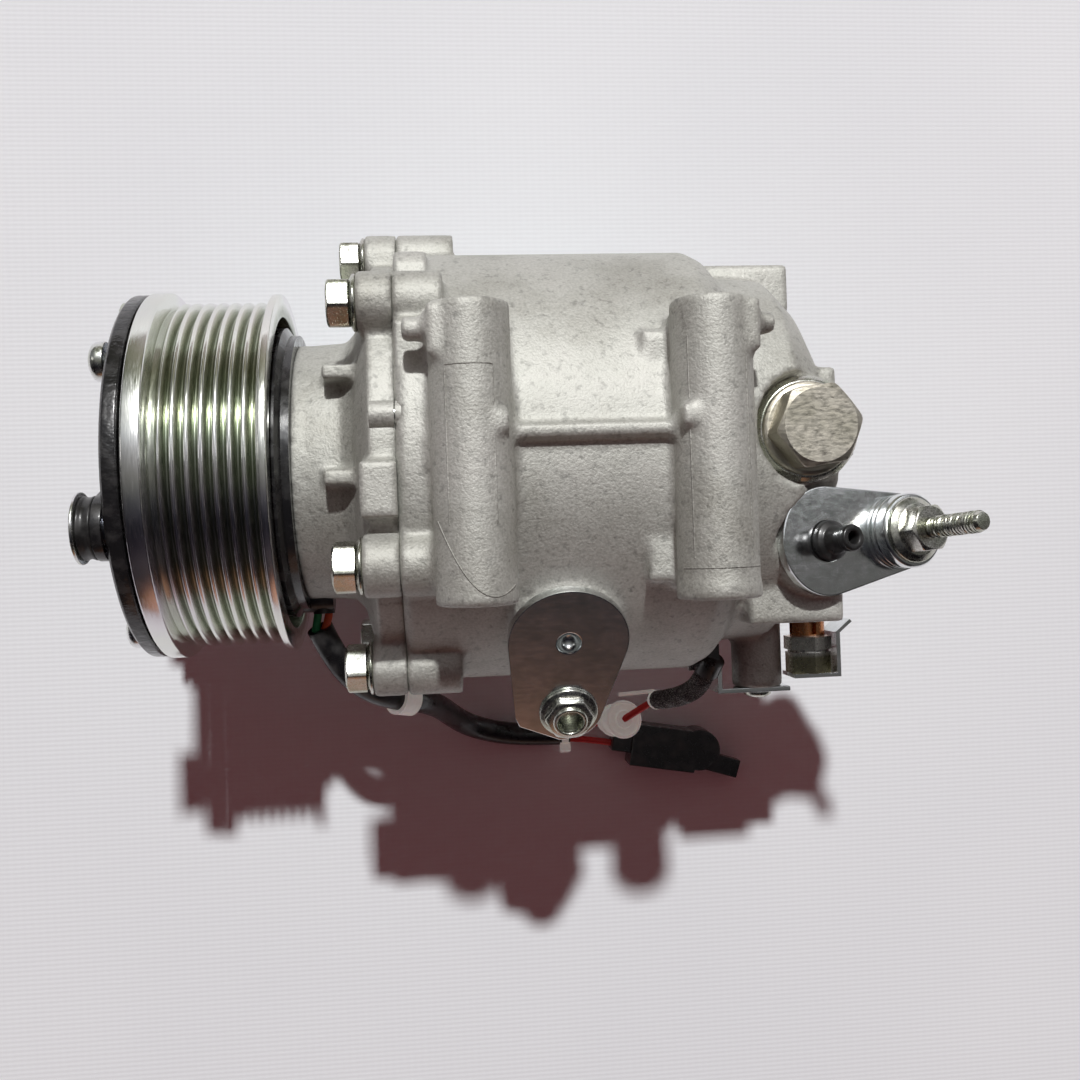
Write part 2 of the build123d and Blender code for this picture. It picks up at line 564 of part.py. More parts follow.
# ---------------------------------------------------------------- front housing
def build_front_housing():
    """Front casting: snout, nose, bolt flange, bearing seats and spigot."""
    spigot_radius = SHELL_BORE_RADIUS
    outline = [(SNOUT_TIP_X, PULLEY_BEARING_BORE), (BEARING_REAR_X, PULLEY_BEARING_BORE),
               (BEARING_REAR_X, COIL_SEAT_RADIUS), (NOSE_FACE_X, COIL_SEAT_RADIUS),
               (NOSE_FACE_X, NOSE_RADIUS), (22.3, NOSE_RADIUS), (22.3, NOSE_RADIUS - 1.0),
               (23.2, NOSE_RADIUS - 1.0), (23.2, NOSE_RADIUS), (32.5, NOSE_RADIUS + 0.6),
               (35.5, NOSE_RADIUS + 4.0), (37.0, NOSE_RADIUS + 9.5),
               (FLANGE_FACE_X, FLANGE_RADIUS - 8.0), (FLANGE_FACE_X + 2.5, FLANGE_RADIUS),
               (PARTING_X, FLANGE_RADIUS), (PARTING_X, spigot_radius),
               (THRUST_PLATE_X, spigot_radius), (THRUST_PLATE_X, spigot_radius - SPIGOT_WALL),
               (PARTING_X, CRANKCASE_RADIUS), (MAIN_BEARING_END_X, CRANKCASE_RADIUS - 3),
               (MAIN_BEARING_END_X, MAIN_BEARING_OUTER), (MAIN_BEARING_X, MAIN_BEARING_OUTER),
               (MAIN_BEARING_X, 27.0), (NEEDLE_END_X + 2.0, 24.0), (NEEDLE_END_X + 2.0, 10.2),
               (NEEDLE_END_X, 10.2), (NEEDLE_END_X, NEEDLE_SHELL_RADIUS),
               (NEEDLE_START_X, NEEDLE_SHELL_RADIUS), (NEEDLE_START_X, 10.4),
               (SEAL_END_X, 10.4), (SEAL_END_X, SEAL_BORE_RADIUS),
               (SNOUT_TIP_X, SEAL_BORE_RADIUS)]
    housing = turned(outline)
    for angle, depth in zip(BOLT_ANGLES, BOLT_DEPTHS):
        y, z = polar(BOLT_CIRCLE_RADIUS, angle)
        housing += rod_x(EAR_RADIUS, FLANGE_FACE_X, PARTING_X, y, z)
        housing += ear_web(angle, FLANGE_FACE_X + 1.5, PARTING_X)
    housing += block(FLANGE_FACE_X + 1.0, PARTING_X, -31.0, -15.0, FLOOR_Z, -50.0)
    housing += block(FLANGE_FACE_X + 1.0, PARTING_X, 20.0, 36.0, FLOOR_Z, -46.0)
    housing += block(FLANGE_FACE_X, PARTING_X, -15.5, -1.5, 50.0, 63.5)
    housing += block(NOSE_FACE_X + 9, FLANGE_FACE_X + 1, -6.0, -2.0, 34.0, 45.0)
    housing += block(NOSE_FACE_X + 9, FLANGE_FACE_X + 1, 22.0, 26.0, 26.0, 40.0)
    housing -= rod_x(CRANKCASE_RADIUS, MAIN_BEARING_END_X + 3.5, THRUST_PLATE_X + 1)
    for angle in BOLT_ANGLES:
        y, z = polar(BOLT_CIRCLE_RADIUS, angle)
        housing -= rod_x(BOLT_RADIUS, FLANGE_FACE_X - 1, PARTING_X + 1, y, z)
        housing -= rod_x(BOLT_WASHER_RADIUS + 0.3, FLANGE_FACE_X - 16, FLANGE_FACE_X, y, z)
    for angle in DOWEL_ANGLES:
        y, z = polar(DOWEL_CIRCLE_RADIUS, angle)
        housing -= rod_x(DOWEL_RADIUS, PARTING_X - 5, PARTING_X + 1, y, z)
    groove_x = PARTING_X + 2.4
    housing -= ring_x(spigot_radius + 1, spigot_radius - 1.8, groove_x, groove_x + 2.4)
    housing -= ring_x(SEAL_BORE_RADIUS + 0.9, SEAL_BORE_RADIUS - 0.5, SEAL_X - 1.2, SEAL_X)
    housing -= ring_x(PULLEY_BEARING_BORE + 1, SNAP_BEARING_RADIUS, SNOUT_TIP_X + 1.0, BEARING_FRONT_X)
    plate_x = NOSE_FACE_X - COIL_PLATE_THICKNESS
    housing -= ring_x(COIL_SEAT_RADIUS + 1, COIL_SEAT_RADIUS - 0.9, plate_x - 1.4, plate_x)
    y, z = EXIT_CENTRE
    housing -= rod_x(EXIT_RADIUS + 0.3, NOSE_FACE_X - 1, NOSE_FACE_X + EXIT_LENGTH + 0.3, y, z)
    add("front_housing", housing)
    scroll_x = FIXED_PLATE_X + 3.5
    add("body_o_rings", ring_x(spigot_radius, spigot_radius - 1.8, groove_x, groove_x + 2.4),
        ring_x(spigot_radius, spigot_radius - 1.8, scroll_x, scroll_x + 2.4))


def ear_web(angle, x0, x1):
    """Cast web that joins a bolt ear to its flange."""
    arm = block(x0, x1, FLANGE_RADIUS - 7, BOLT_CIRCLE_RADIUS, -EAR_RADIUS, EAR_RADIUS)
    y, z = polar(1.0, angle)
    return Rot(degrees(atan2(z, y)), 0, 0) * arm


def build_fasteners():
    """Case bolts with their washers, and the dowels."""
    bolts = []
    washers = []
    for angle, depth in zip(BOLT_ANGLES, BOLT_DEPTHS):
        y, z = polar(BOLT_CIRCLE_RADIUS, angle)
        head_x = FLANGE_FACE_X - BOLT_WASHER_THICKNESS
        head = along_x(head_x, y, z, spin=12, forward=False) * chamfered_hexagon(BOLT_HEAD_AF,
                                                                                 BOLT_HEAD_HEIGHT)
        bolts.append(head + rod_x(BOLT_RADIUS, head_x, PARTING_X + depth - 4, y, z))
        washers.append(ring_x(BOLT_WASHER_RADIUS, BOLT_RADIUS, head_x, FLANGE_FACE_X, y, z))
    add("case_bolts", *bolts)
    add("case_bolt_washers", *washers)
    dowels = []
    for angle in DOWEL_ANGLES:
        y, z = polar(DOWEL_CIRCLE_RADIUS, angle)
        dowels.append(rod_x(DOWEL_RADIUS, PARTING_X - 5, PARTING_X + 5, y, z))
    add("case_dowels", *dowels)


# ---------------------------------------------------------------- shell
def shell_form(skin=0.0):
    """Turned outer form of the rear casting, optionally grown by a skin."""
    outline = [(PARTING_X, SHELL_RADIUS - 1.5), (PARTING_X + 2, SHELL_RADIUS),
               (BODY_END_X, SHELL_RADIUS), (BODY_END_X + 4.5, SHELL_RADIUS - 2.2),
               (BODY_END_X + 9, REAR_BODY_RADIUS), (SHELL_REAR_X - 21, REAR_BODY_RADIUS - 1),
               (SHELL_REAR_X - 14, REAR_BODY_RADIUS - 8), (SHELL_REAR_X - 8, REAR_BODY_RADIUS - 18),
               (SHELL_REAR_X - 3, REAR_BODY_RADIUS - 33)]
    grown = [(x, radius + skin) for x, radius in outline]
    return turned(grown + [(SHELL_REAR_X + skin, 0), (PARTING_X, 0)])


def build_shell():
    """Rear casting with mounting tubes, port necks, bosses and the scroll chamber."""
    body = shell_form()
    for angle, depth in zip(BOLT_ANGLES, BOLT_DEPTHS):
        y, z = polar(BOLT_CIRCLE_RADIUS, angle)
        body += rod_x(EAR_RADIUS, PARTING_X, PARTING_X + depth, y, z)
        body += ear_web(angle, PARTING_X, PARTING_X + depth)
    y, z = polar(BOLT_CIRCLE_RADIUS - 3, 58.0)
    body += rod_x(EAR_RADIUS - 1, PARTING_X, PARTING_X + 9, y, z)

    for x in TUBE_X:
        body += rod_y(TUBE_RADIUS, TUBE_LOW_Y, TUBE_HIGH_Y, x, UPPER_TUBE_Z)
        body += block(x - TUBE_RADIUS + 1, x + TUBE_RADIUS - 1, TUBE_LOW_Y + 2, TUBE_HIGH_Y - 2,
                      45.0, UPPER_TUBE_Z)
        body += rod_y(LOWER_TUBE_RADIUS, -LOWER_TUBE_HALF_LENGTH, LOWER_TUBE_HALF_LENGTH, x,
                      LOWER_TUBE_Z)
        body += block(x - LOWER_TUBE_RADIUS, x + LOWER_TUBE_RADIUS, -LOWER_TUBE_HALF_LENGTH,
                      LOWER_TUBE_HALF_LENGTH, LOWER_TUBE_Z, -48.0)
    front_x, rear_x = TUBE_X
    body += block(front_x - TUBE_RADIUS, front_x + 4.5, 22.5, TUBE_HIGH_Y - 1, 55.0, 72.0)
    body += rod_x(3.0, front_x - TUBE_RADIUS - 6, front_x, 29.5, 66.5)
    body += block(rear_x - 4.5, rear_x + TUBE_RADIUS + 0.4, 22.5, TUBE_HIGH_Y - 1, 55.0, 72.0)
    body += rod_x(2.8, rear_x, rear_x + TUBE_RADIUS + 4.8, 29.5, 66.5)
    body += rod_y(TUBE_RADIUS + 0.4, TUBE_LOW_Y - 0.6, TUBE_LOW_Y + 3.4, rear_x, UPPER_TUBE_Z)
    body += block(front_x + 4, front_x + 8.8, 3.8, 9.0, 64.0, 73.2)
    body += block(rear_x - 9.6, rear_x - 4, 4.4, 9.4, 64.0, 73.0)
    body += block(front_x + TUBE_RADIUS - 2, rear_x - TUBE_RADIUS, 2.6, 6.2, 58.0, 66.0)
    body += block(PARTING_X, front_x - 4, -33.0, 34.0, 46.0, 57.5)
    body += block(rear_x - TUBE_RADIUS - 6, rear_x, -34.0, 30.0, 48.0, 58.5)

    x0, x1, y0, y1, top = REAR_BLOCK
    body += block(x0, x1, y0, y1, 0.0, top)
    body += block(x0 - 8, x0 + 4, y0 + 4, y1 - 2, 20.0, top - 4)
    body += block(x0 + 4, x1 + 7.5, y0, y0 + 22, -8.0, 18.0)
    body += block(BODY_END_X + 6, 165.0, 44.0, 58.6, -9.0, 9.0)
    body += rod_y(SENSOR_BOSS_RADIUS, SENSOR_BOSS_END_Y, -40.0, SENSOR_BOSS_X, 0.0)
    plug_x, plug_y, plug_z = PLUG_CENTRE
    body += Pos(plug_x, plug_y, 0) * rod(PLUG_WASHER_RADIUS + 0.6, 10.0, plug_z)

    body += SUCTION_PORT * (rod(SUCTION_NECK_RADIUS, -22, -1.0) + rod(SUCTION_NECK_RADIUS + 1, -1.0, 0)
                            + Pos(0.5, -SUCTION_BOLT_OFFSET, 0) * rod(8.6, -22, 0)
                            + Pos(0, -SUCTION_BOLT_OFFSET / 2, -9) * Box(17, SUCTION_BOLT_OFFSET, 18))
    body += DISCHARGE_PORT * (rod(DISCHARGE_PLATE_RADIUS - 0.6, -24, 0)
                              + Pos(DISCHARGE_STUD_OFFSET, 0, 0) * rod(DISCHARGE_END_RADIUS - 0.5, -17, 0)
                              + Pos(DISCHARGE_STUD_OFFSET / 2, 0, -8.5) * Box(DISCHARGE_STUD_OFFSET, 19, 17))

    body -= Pos(plug_x, plug_y, plug_z) * rod(PLUG_WASHER_RADIUS + 1.0, 0, 30)
    body -= DISCHARGE_PORT * extrude(discharge_outline(1.2), 30)
    body -= rod_x(SHELL_BORE_RADIUS, PARTING_X - 1, FIXED_PLATE_END_X)
    body -= turned([(FIXED_PLATE_END_X - 1, 0), (FIXED_PLATE_END_X - 1, REAR_CHAMBER_RADIUS),
                    (REAR_CHAMBER_END_X - 10, REAR_CHAMBER_RADIUS),
                    (REAR_CHAMBER_END_X, REAR_CHAMBER_RADIUS - 12), (REAR_CHAMBER_END_X, 0)])
    body -= SUCTION_PORT * rod(SUCTION_BORE_RADIUS, -20, 1)
    body -= SUCTION_PORT * Pos(0.5, -SUCTION_BOLT_OFFSET, 0) * rod(SUCTION_BOLT_RADIUS, -14, 1)
    body -= DISCHARGE_PORT * rod(DISCHARGE_BORE_RADIUS, -14, 1)
    body -= DISCHARGE_PORT * Pos(DISCHARGE_STUD_OFFSET, 0, 0) * rod(STUD_RADIUS, -12, 1)
    body -= Pos(plug_x, plug_y, 0) * rod(PLUG_THREAD_RADIUS, plug_z - 14, plug_z + 1)
    body -= rod_y(5.0, y0 - 1, y0 + 10, RELIEF_X, RELIEF_Z)
    body -= rod_y(SENSOR_SCREW_RADIUS, SENSOR_BOSS_END_Y - 1, SENSOR_BOSS_END_Y + 10, SENSOR_BOSS_X, 0.0)
    for x in TUBE_X:
        body -= rod_y(MOUNT_BORE_RADIUS, TUBE_LOW_Y - 2, TUBE_HIGH_Y + 2, x, UPPER_TUBE_Z)
        body -= rod_y(MOUNT_BORE_RADIUS, -LOWER_TUBE_HALF_LENGTH - 1, LOWER_TUBE_HALF_LENGTH + 1, x,
                      LOWER_TUBE_Z)
    for angle, depth in zip(BOLT_ANGLES, BOLT_DEPTHS):
        y, z = polar(BOLT_CIRCLE_RADIUS, angle)
        body -= rod_x(BOLT_RADIUS, PARTING_X - 1, PARTING_X + depth - 3, y, z)
    for angle in DOWEL_ANGLES:
        y, z = polar(DOWEL_CIRCLE_RADIUS, angle)
        body -= rod_x(DOWEL_RADIUS, PARTING_X - 1, PARTING_X + 5, y, z)
    add("shell_housing", body)


# ---------------------------------------------------------------- shaft
def build_shaft():
    """Drive shaft with its seal, bearings, eccentric bushing and counterweight."""
    crank_front = MAIN_BEARING_END_X + 0.6
    crank_rear = crank_front + 3.2
    shaft = turned([(SHAFT_FRONT_X, 0), (SHAFT_FRONT_X, SPLINE_RADIUS), (SHAFT_STEP_X, SPLINE_RADIUS),
                    (SHAFT_STEP_X, JOURNAL_RADIUS), (MAIN_BEARING_X - 2, JOURNAL_RADIUS),
                    (MAIN_BEARING_X, MAIN_BEARING_BORE), (MAIN_BEARING_END_X, MAIN_BEARING_BORE),
                    (crank_front, CRANK_DISC_RADIUS), (crank_rear, CRANK_DISC_RADIUS), (crank_rear, 0)])
    pin_end = ORBITING_PLATE_X - 2.0
    shaft += rod_x(CRANK_PIN_RADIUS, crank_rear, pin_end, 0, ORBIT_RADIUS)
    shaft -= rod_x(HUB_BOLT_RADIUS, SHAFT_FRONT_X - 1, HUB_PLATE_FRONT_X - 2.0 + HUB_BOLT_LENGTH)
    add("drive_shaft", shaft)

    add("shaft_seal", turned([(SEAL_X, SEAL_BORE_RADIUS), (SEAL_END_X, SEAL_BORE_RADIUS),
                              (SEAL_END_X, JOURNAL_RADIUS + 3), (SEAL_END_X - 3, JOURNAL_RADIUS + 0.05),
                              (SEAL_END_X - 5, JOURNAL_RADIUS + 0.05), (SEAL_X + 2, JOURNAL_RADIUS + 3),
                              (SEAL_X, JOURNAL_RADIUS + 3)]))
    add("shaft_needle_shell", ring_x(NEEDLE_SHELL_RADIUS, NEEDLE_SHELL_BORE, NEEDLE_START_X, NEEDLE_END_X))
    add("shaft_needles", *needle_row(NEEDLE_RADIUS, NEEDLE_PITCH_RADIUS, NEEDLE_COUNT,
                                     NEEDLE_START_X + 1, NEEDLE_END_X - 1))

    pitch = (MAIN_BEARING_BORE + MAIN_BEARING_OUTER) / 2
    middle = MAIN_BEARING_X + MAIN_BEARING_WIDTH / 2
    groove = race_groove(MAIN_BALL_RADIUS, pitch, middle)
    add("main_bearing_inner_race",
        ring_x(pitch - 3.4, MAIN_BEARING_BORE, MAIN_BEARING_X, MAIN_BEARING_END_X) - groove)
    add("main_bearing_outer_race",
        ring_x(MAIN_BEARING_OUTER, pitch + 3.4, MAIN_BEARING_X, MAIN_BEARING_END_X) - groove)
    cage = ring_x(pitch + 1.0, pitch - 1.0, middle - 6.2, middle + 6.2)
    for pocket in ball_pockets(MAIN_BALL_COUNT, MAIN_BALL_RADIUS, pitch, middle):
        cage -= pocket
    add("main_bearing_ball_set", cage, *ball_row(MAIN_BALL_COUNT, MAIN_BALL_RADIUS, pitch, middle))

    bushing_x = crank_rear + 0.5
    add("eccentric_bushing",
        ring_x(BUSHING_RADIUS, CRANK_PIN_RADIUS, bushing_x, pin_end, 0, ORBIT_RADIUS))
    add("scroll_needles", *needle_row(NEEDLE_RADIUS, SCROLL_NEEDLE_PITCH, NEEDLE_COUNT + 4,
                                      BOSS_FRONT_X + 0.6, pin_end, 0, ORBIT_RADIUS))
    weight = ring_x(COUNTERWEIGHT_RADIUS, CRANK_DISC_RADIUS, crank_front, crank_rear - 0.2)
    weight &= block(crank_front - 1, crank_rear + 1, -30, 30, -60, -6)
    add("counterweight", weight)


# ---------------------------------------------------------------- scroll set
def involute(theta, offset):
    """Point of an involute of the base circle, shifted along it by an angular offset."""
    lead_angle = theta + offset
    x = SCROLL_BASE_RADIUS * (cos(theta) + lead_angle * sin(theta))
    y = SCROLL_BASE_RADIUS * (sin(theta) - lead_angle * cos(theta))
    return x, y


def wrap(x0, x1, turn=0.0, z=0.0):
    """One spiral wall between two X planes."""
    half = WALL_THICKNESS / (2 * SCROLL_BASE_RADIUS)
    steps = 44
    angles = [WRAP_START + i * (WRAP_END - WRAP_START) / steps for i in range(steps + 1)]
    outer = Spline(*[involute(a, half) for a in angles])
    inner = Spline(*[involute(a, -half) for a in angles])
    wall = make_face(outer + inner + Line(outer @ 0, inner @ 0) + Line(outer @ 1, inner @ 1))
    return along_x(x0, 0, z, spin=turn) * extrude(wall, x1 - x0)


def build_scrolls():
    """Orbiting and fixed scroll, thrust plate, anti-rotation rings and pins, discharge reed."""
    boss = ring_x(SCROLL_BOSS_BORE + 4.0, SCROLL_BOSS_BORE, BOSS_FRONT_X, ORBITING_PLATE_X, 0,
                  ORBIT_RADIUS)
    orbiting = boss + rod_x(ORBITING_PLATE_RADIUS, ORBITING_PLATE_X, ORBITING_WRAP_X, 0, ORBIT_RADIUS)
    orbiting += wrap(ORBITING_WRAP_X - 0.5, FIXED_PLATE_X - TIP_GAP, 0, ORBIT_RADIUS)
    pins = []
    rings = []
    thrust = ring_x(SHELL_BORE_RADIUS, THRUST_PLATE_INNER_RADIUS, THRUST_PLATE_X, ORBITING_PLATE_X - 0.2)
    for angle in around_x(PIN_RING_COUNT, 45):
        y, z = polar(PIN_RING_CIRCLE, angle)
        pin_z = z + ORBIT_RADIUS
        pins.append(rod_x(ANTI_ROTATION_PIN_RADIUS, THRUST_PLATE_X + 0.8, ORBITING_PLATE_X + 4, y, pin_z))
        orbiting -= rod_x(ANTI_ROTATION_PIN_RADIUS, ORBITING_PLATE_X - 1, ORBITING_PLATE_X + 4, y, pin_z)
        ring_end = ORBITING_PLATE_X - 0.4
        rings.append(ring_x(RING_INNER_RADIUS + 1.8, RING_INNER_RADIUS, THRUST_PLATE_X, ring_end, y, z))
        thrust -= rod_x(RING_INNER_RADIUS + 1.8, THRUST_PLATE_X - 1, ORBITING_PLATE_X, y, z)
    add("orbiting_scroll", orbiting)
    add("anti_rotation_pins", *pins)
    add("anti_rotation_rings", *rings)
    add("thrust_plate", thrust)

    fixed = rod_x(SHELL_BORE_RADIUS, FIXED_PLATE_X, FIXED_PLATE_END_X)
    fixed += wrap(ORBITING_WRAP_X + TIP_GAP, FIXED_PLATE_X + 0.5, 180)
    fixed -= rod_x(DISCHARGE_HOLE_RADIUS, FIXED_PLATE_X - 1, FIXED_PLATE_END_X + 1)
    seal_x = FIXED_PLATE_X + 3.5
    fixed -= ring_x(SHELL_BORE_RADIUS + 1, SHELL_BORE_RADIUS - 1.8, seal_x, seal_x + 2.4)
    fixed -= rod_x(REED_SCREW_RADIUS, FIXED_PLATE_END_X - 6, FIXED_PLATE_END_X + 1, REED_SCREW_Y)
    add("fixed_scroll", fixed)

    face = FIXED_PLATE_END_X
    reed_x0 = face + 0.05
    reed_x1 = reed_x0 + REED_THICKNESS
    reed = block(reed_x0, reed_x1, REED_ROOT_Y, REED_TIP_Y, -REED_WIDTH / 2, REED_WIDTH / 2)
    reed -= rod_x(REED_SPACER_RADIUS + 0.5, face - 1, reed_x1 + 1, REED_SCREW_Y)
    add("discharge_reed", reed)
    root_x = reed_x1 + 0.55
    tip_rise = 2.4
    profile = make_face(Polyline((root_x, REED_ROOT_Y - 1, 0), (root_x, REED_SCREW_Y + 4, 0),
                                 (root_x + tip_rise, REED_TIP_Y + 1, 0),
                                 (root_x + tip_rise + 1.6, REED_TIP_Y + 1, 0),
                                 (root_x + 1.6, REED_SCREW_Y + 4, 0),
                                 (root_x + 1.6, REED_ROOT_Y - 1, 0), close=True))
    retainer = extrude(profile, REED_WIDTH / 2, dir=(0, 0, 1), both=True)
    retainer += rod_x(REED_SPACER_RADIUS, face, root_x + 0.2, REED_SCREW_Y)
    retainer -= rod_x(REED_SCREW_RADIUS, face - 1, root_x + 8, REED_SCREW_Y)
    add("reed_retainer", retainer)
    head = along_x(root_x + 1.6, REED_SCREW_Y, 0) * chamfered_hexagon(7.0, 3.0)
    add("reed_screw", head + rod_x(REED_SCREW_RADIUS, face - 6, root_x + 1.6, REED_SCREW_Y))


# ---------------------------------------------------------------- ports and rear fittings
def build_suction_port():
    """Shipping cap on the suction port, with its hollow-ended bolt."""
    corner = Polyline((-14.0, -24.0), (-12.8, -27.0), (-1.5, -32.4))
    rounds = Circle(16.0).edges() + (Pos(0.5, -SUCTION_BOLT_OFFSET) * Circle(9.4)).edges()
    outline = make_hull(rounds + corner.edges())
    plate = extrude(outline, PORT_PLATE_THICKNESS)
    plate += Pos(0, 0, -5) * rod(SUCTION_BORE_RADIUS - 0.1, 0, 5)
    plate -= Pos(0, 0, PORT_PLATE_THICKNESS) * Sphere(3.2)
    bolt_place = Pos(0.5, -SUCTION_BOLT_OFFSET, 0)
    plate -= bolt_place * rod(SUCTION_BOLT_RADIUS, -1, PORT_PLATE_THICKNESS + 1)
    add("suction_cap_plate", SUCTION_PORT * plate)
    base = PORT_PLATE_THICKNESS
    bolt = rod(SUCTION_BOLT_RADIUS, -14, base) + rod(8.0, base, base + 1.4)
    bolt += Pos(0, 0, base + 1.4) * chamfered_hexagon(12.0, 2.6) + rod(4.7, base + 3.8, base + 5.0)
    bolt -= rod(3.5, base + 1.4, base + 8)
    add("suction_cap_bolt", SUCTION_PORT * bolt_place * bolt)


def discharge_outline(skin=0.0):
    """Pear outline of the discharge cap plate, optionally grown by a skin."""
    far_end = Pos(DISCHARGE_STUD_OFFSET, 0) * Circle(DISCHARGE_END_RADIUS + skin)
    return make_hull(Circle(DISCHARGE_PLATE_RADIUS + skin).edges() + far_end.edges())


def build_discharge_port():
    """Shipping cap on the discharge port: pear plate, rubber plug, stud, spacer and nut."""
    plate = extrude(discharge_outline(), PORT_PLATE_THICKNESS)
    stud_place = Pos(DISCHARGE_STUD_OFFSET, 0, 0)
    plate -= rod(5.4, -1, PORT_PLATE_THICKNESS + 1)
    plate -= stud_place * rod(STUD_RADIUS, -1, PORT_PLATE_THICKNESS + 1)
    add("discharge_cap_plate", DISCHARGE_PORT * plate)
    base = PORT_PLATE_THICKNESS
    plug = rod(5.4, -6.0, base) + rod(5.5, base, base + 2.5)
    plug += Pos(0, 0, base + 5.2) * Cone(3.8, 3.0, 5.4) + rod(3.6, base + 7.9, base + 10.4)
    plug -= rod(1.7, base + 5.5, base + 12)
    add("discharge_cap_plug", DISCHARGE_PORT * plug)
    spacer = stud_place * tube(SPACER_RADIUS, STUD_RADIUS, base, base + SPACER_HEIGHT)
    add("discharge_spacer", DISCHARGE_PORT * spacer)
    seat = base + SPACER_HEIGHT
    nut = rod(9.2, seat, seat + 1.8) + Pos(0, 0, seat + 1.8) * chamfered_hexagon(12.2, 5.2)
    nut -= rod(STUD_RADIUS, seat - 1, seat + 9)
    add("discharge_nut", DISCHARGE_PORT * stud_place * nut)
    thread_start = seat + 7.4
    stud = rod(STUD_RADIUS, -12, thread_start)
    stud += rod(STUD_THREAD_RADIUS, thread_start, STUD_LENGTH - 1.2)
    stud += Pos(0, 0, STUD_LENGTH - 0.6) * Cone(STUD_THREAD_RADIUS, STUD_TIP_RADIUS, 1.2)
    add("discharge_stud", DISCHARGE_PORT * stud_place * stud)


def build_rear_fittings():
    """Service plug, relief valve with its clip, and the temperature switch in its bracket."""
    plug_place = Pos(*PLUG_CENTRE)
    top = PLUG_WASHER_THICKNESS
    washer = tube(PLUG_WASHER_RADIUS, PLUG_THREAD_RADIUS, 0, top)
    add("service_plug_washer", plug_place * washer)
    plug = rod(PLUG_THREAD_RADIUS, -13.0, top) + rod(12.6, top, top + 1.4)
    plug += Pos(0, 0, top + 1.4) * Rot(0, 0, 8) * chamfered_hexagon(PLUG_AF, PLUG_HEAD_HEIGHT)
    add("service_plug", plug_place * plug)

    bottom = REAR_BLOCK[2]
    place = Pos(RELIEF_X, bottom, RELIEF_Z) * Rot(90, 0, 0)
    flats = Rot(0, 0, 30)
    body = rod(5.0, -9, 0) + rod(6.7, 0, 1.8) + rod(5.2, 1.8, 7.0)
    for angle in (0, 90):
        body -= Pos(0, 0, 4.6) * Rot(0, 0, angle) * Box(20, 2.4, 3.4)
    body += rod(3.4, 1.8, 7.2) + Pos(0, 0, 7.0) * flats * hexagon(12.6, 4.0) + rod(6.0, 11.0, 11.8)
    body += Pos(0, 0, 11.8) * flats * hexagon(12.0, 6.2)
    body -= rod(1.6, 9.0, 20)
    add("relief_valve", place * body)
    sheet_x = RELIEF_X + 7.0
    low_y = bottom - 19.2
    clip = block(sheet_x, sheet_x + 1.2, low_y, bottom - 6.0, RELIEF_Z - 6, RELIEF_Z + 6)
    clip += block(RELIEF_X - 6.2, sheet_x + 1.2, low_y, low_y + 1.2, RELIEF_Z - 6, RELIEF_Z + 6)
    clip += Pos(sheet_x + 0.4, bottom - 6.6, RELIEF_Z) * Rot(0, 0, 40) * block(0, 6.0, 0, 1.0, -6, 6)
    add("relief_valve_clip", clip)

    sheet = block(SENSOR_BOSS_X - 13.5, SENSOR_BOSS_X + 9, SENSOR_BOSS_END_Y - SENSOR_SHEET,
                  SENSOR_BOSS_END_Y, -7.0, 5.0)
    arm_x = SENSOR_BOSS_X - 13.5
    sheet += block(arm_x, arm_x + SENSOR_SHEET, SENSOR_BOSS_END_Y - SENSOR_SHEET,
                   SENSOR_BOSS_END_Y + 7.5, -7.0, 5.0)
    sheet += block(arm_x - 9.0, arm_x + SENSOR_SHEET, SENSOR_BOSS_END_Y + 6.1, SENSOR_BOSS_END_Y + 7.5,
                   -7.0, 5.0)
    sheet -= rod_y(SENSOR_SCREW_RADIUS, SENSOR_BOSS_END_Y - 3, SENSOR_BOSS_END_Y + 1, SENSOR_BOSS_X, 0)
    add("sensor_bracket", sheet)
    head_y = SENSOR_BOSS_END_Y - SENSOR_SHEET
    screw = rod_y(SENSOR_SCREW_RADIUS, head_y, SENSOR_BOSS_END_Y + 9, SENSOR_BOSS_X, 0)
    add("bracket_screw", screw + rod_y(4.4, head_y - 2.0, head_y, SENSOR_BOSS_X, 0))

    seat_y = SENSOR_BOSS_END_Y + 7.5
    switch = rod_y(6.6, seat_y, -54.0, arm_x - 5.2, 0.0)
    switch += block(arm_x - 9.2, arm_x - 1.2, seat_y + 0.6, -55.0, 3.0, 12.5)
    outlet = Vector(*THERMAL_LEAD_ROUTE[0])
    direction = Vector(*THERMAL_LEAD_ROUTE[1]) - outlet
    switch += Plane(origin=outlet, z_dir=direction).location * rod(THERMAL_LEAD_RADIUS + 0.9, -5, 0)
    add("thermal_switch", switch - shell_form(0.3))


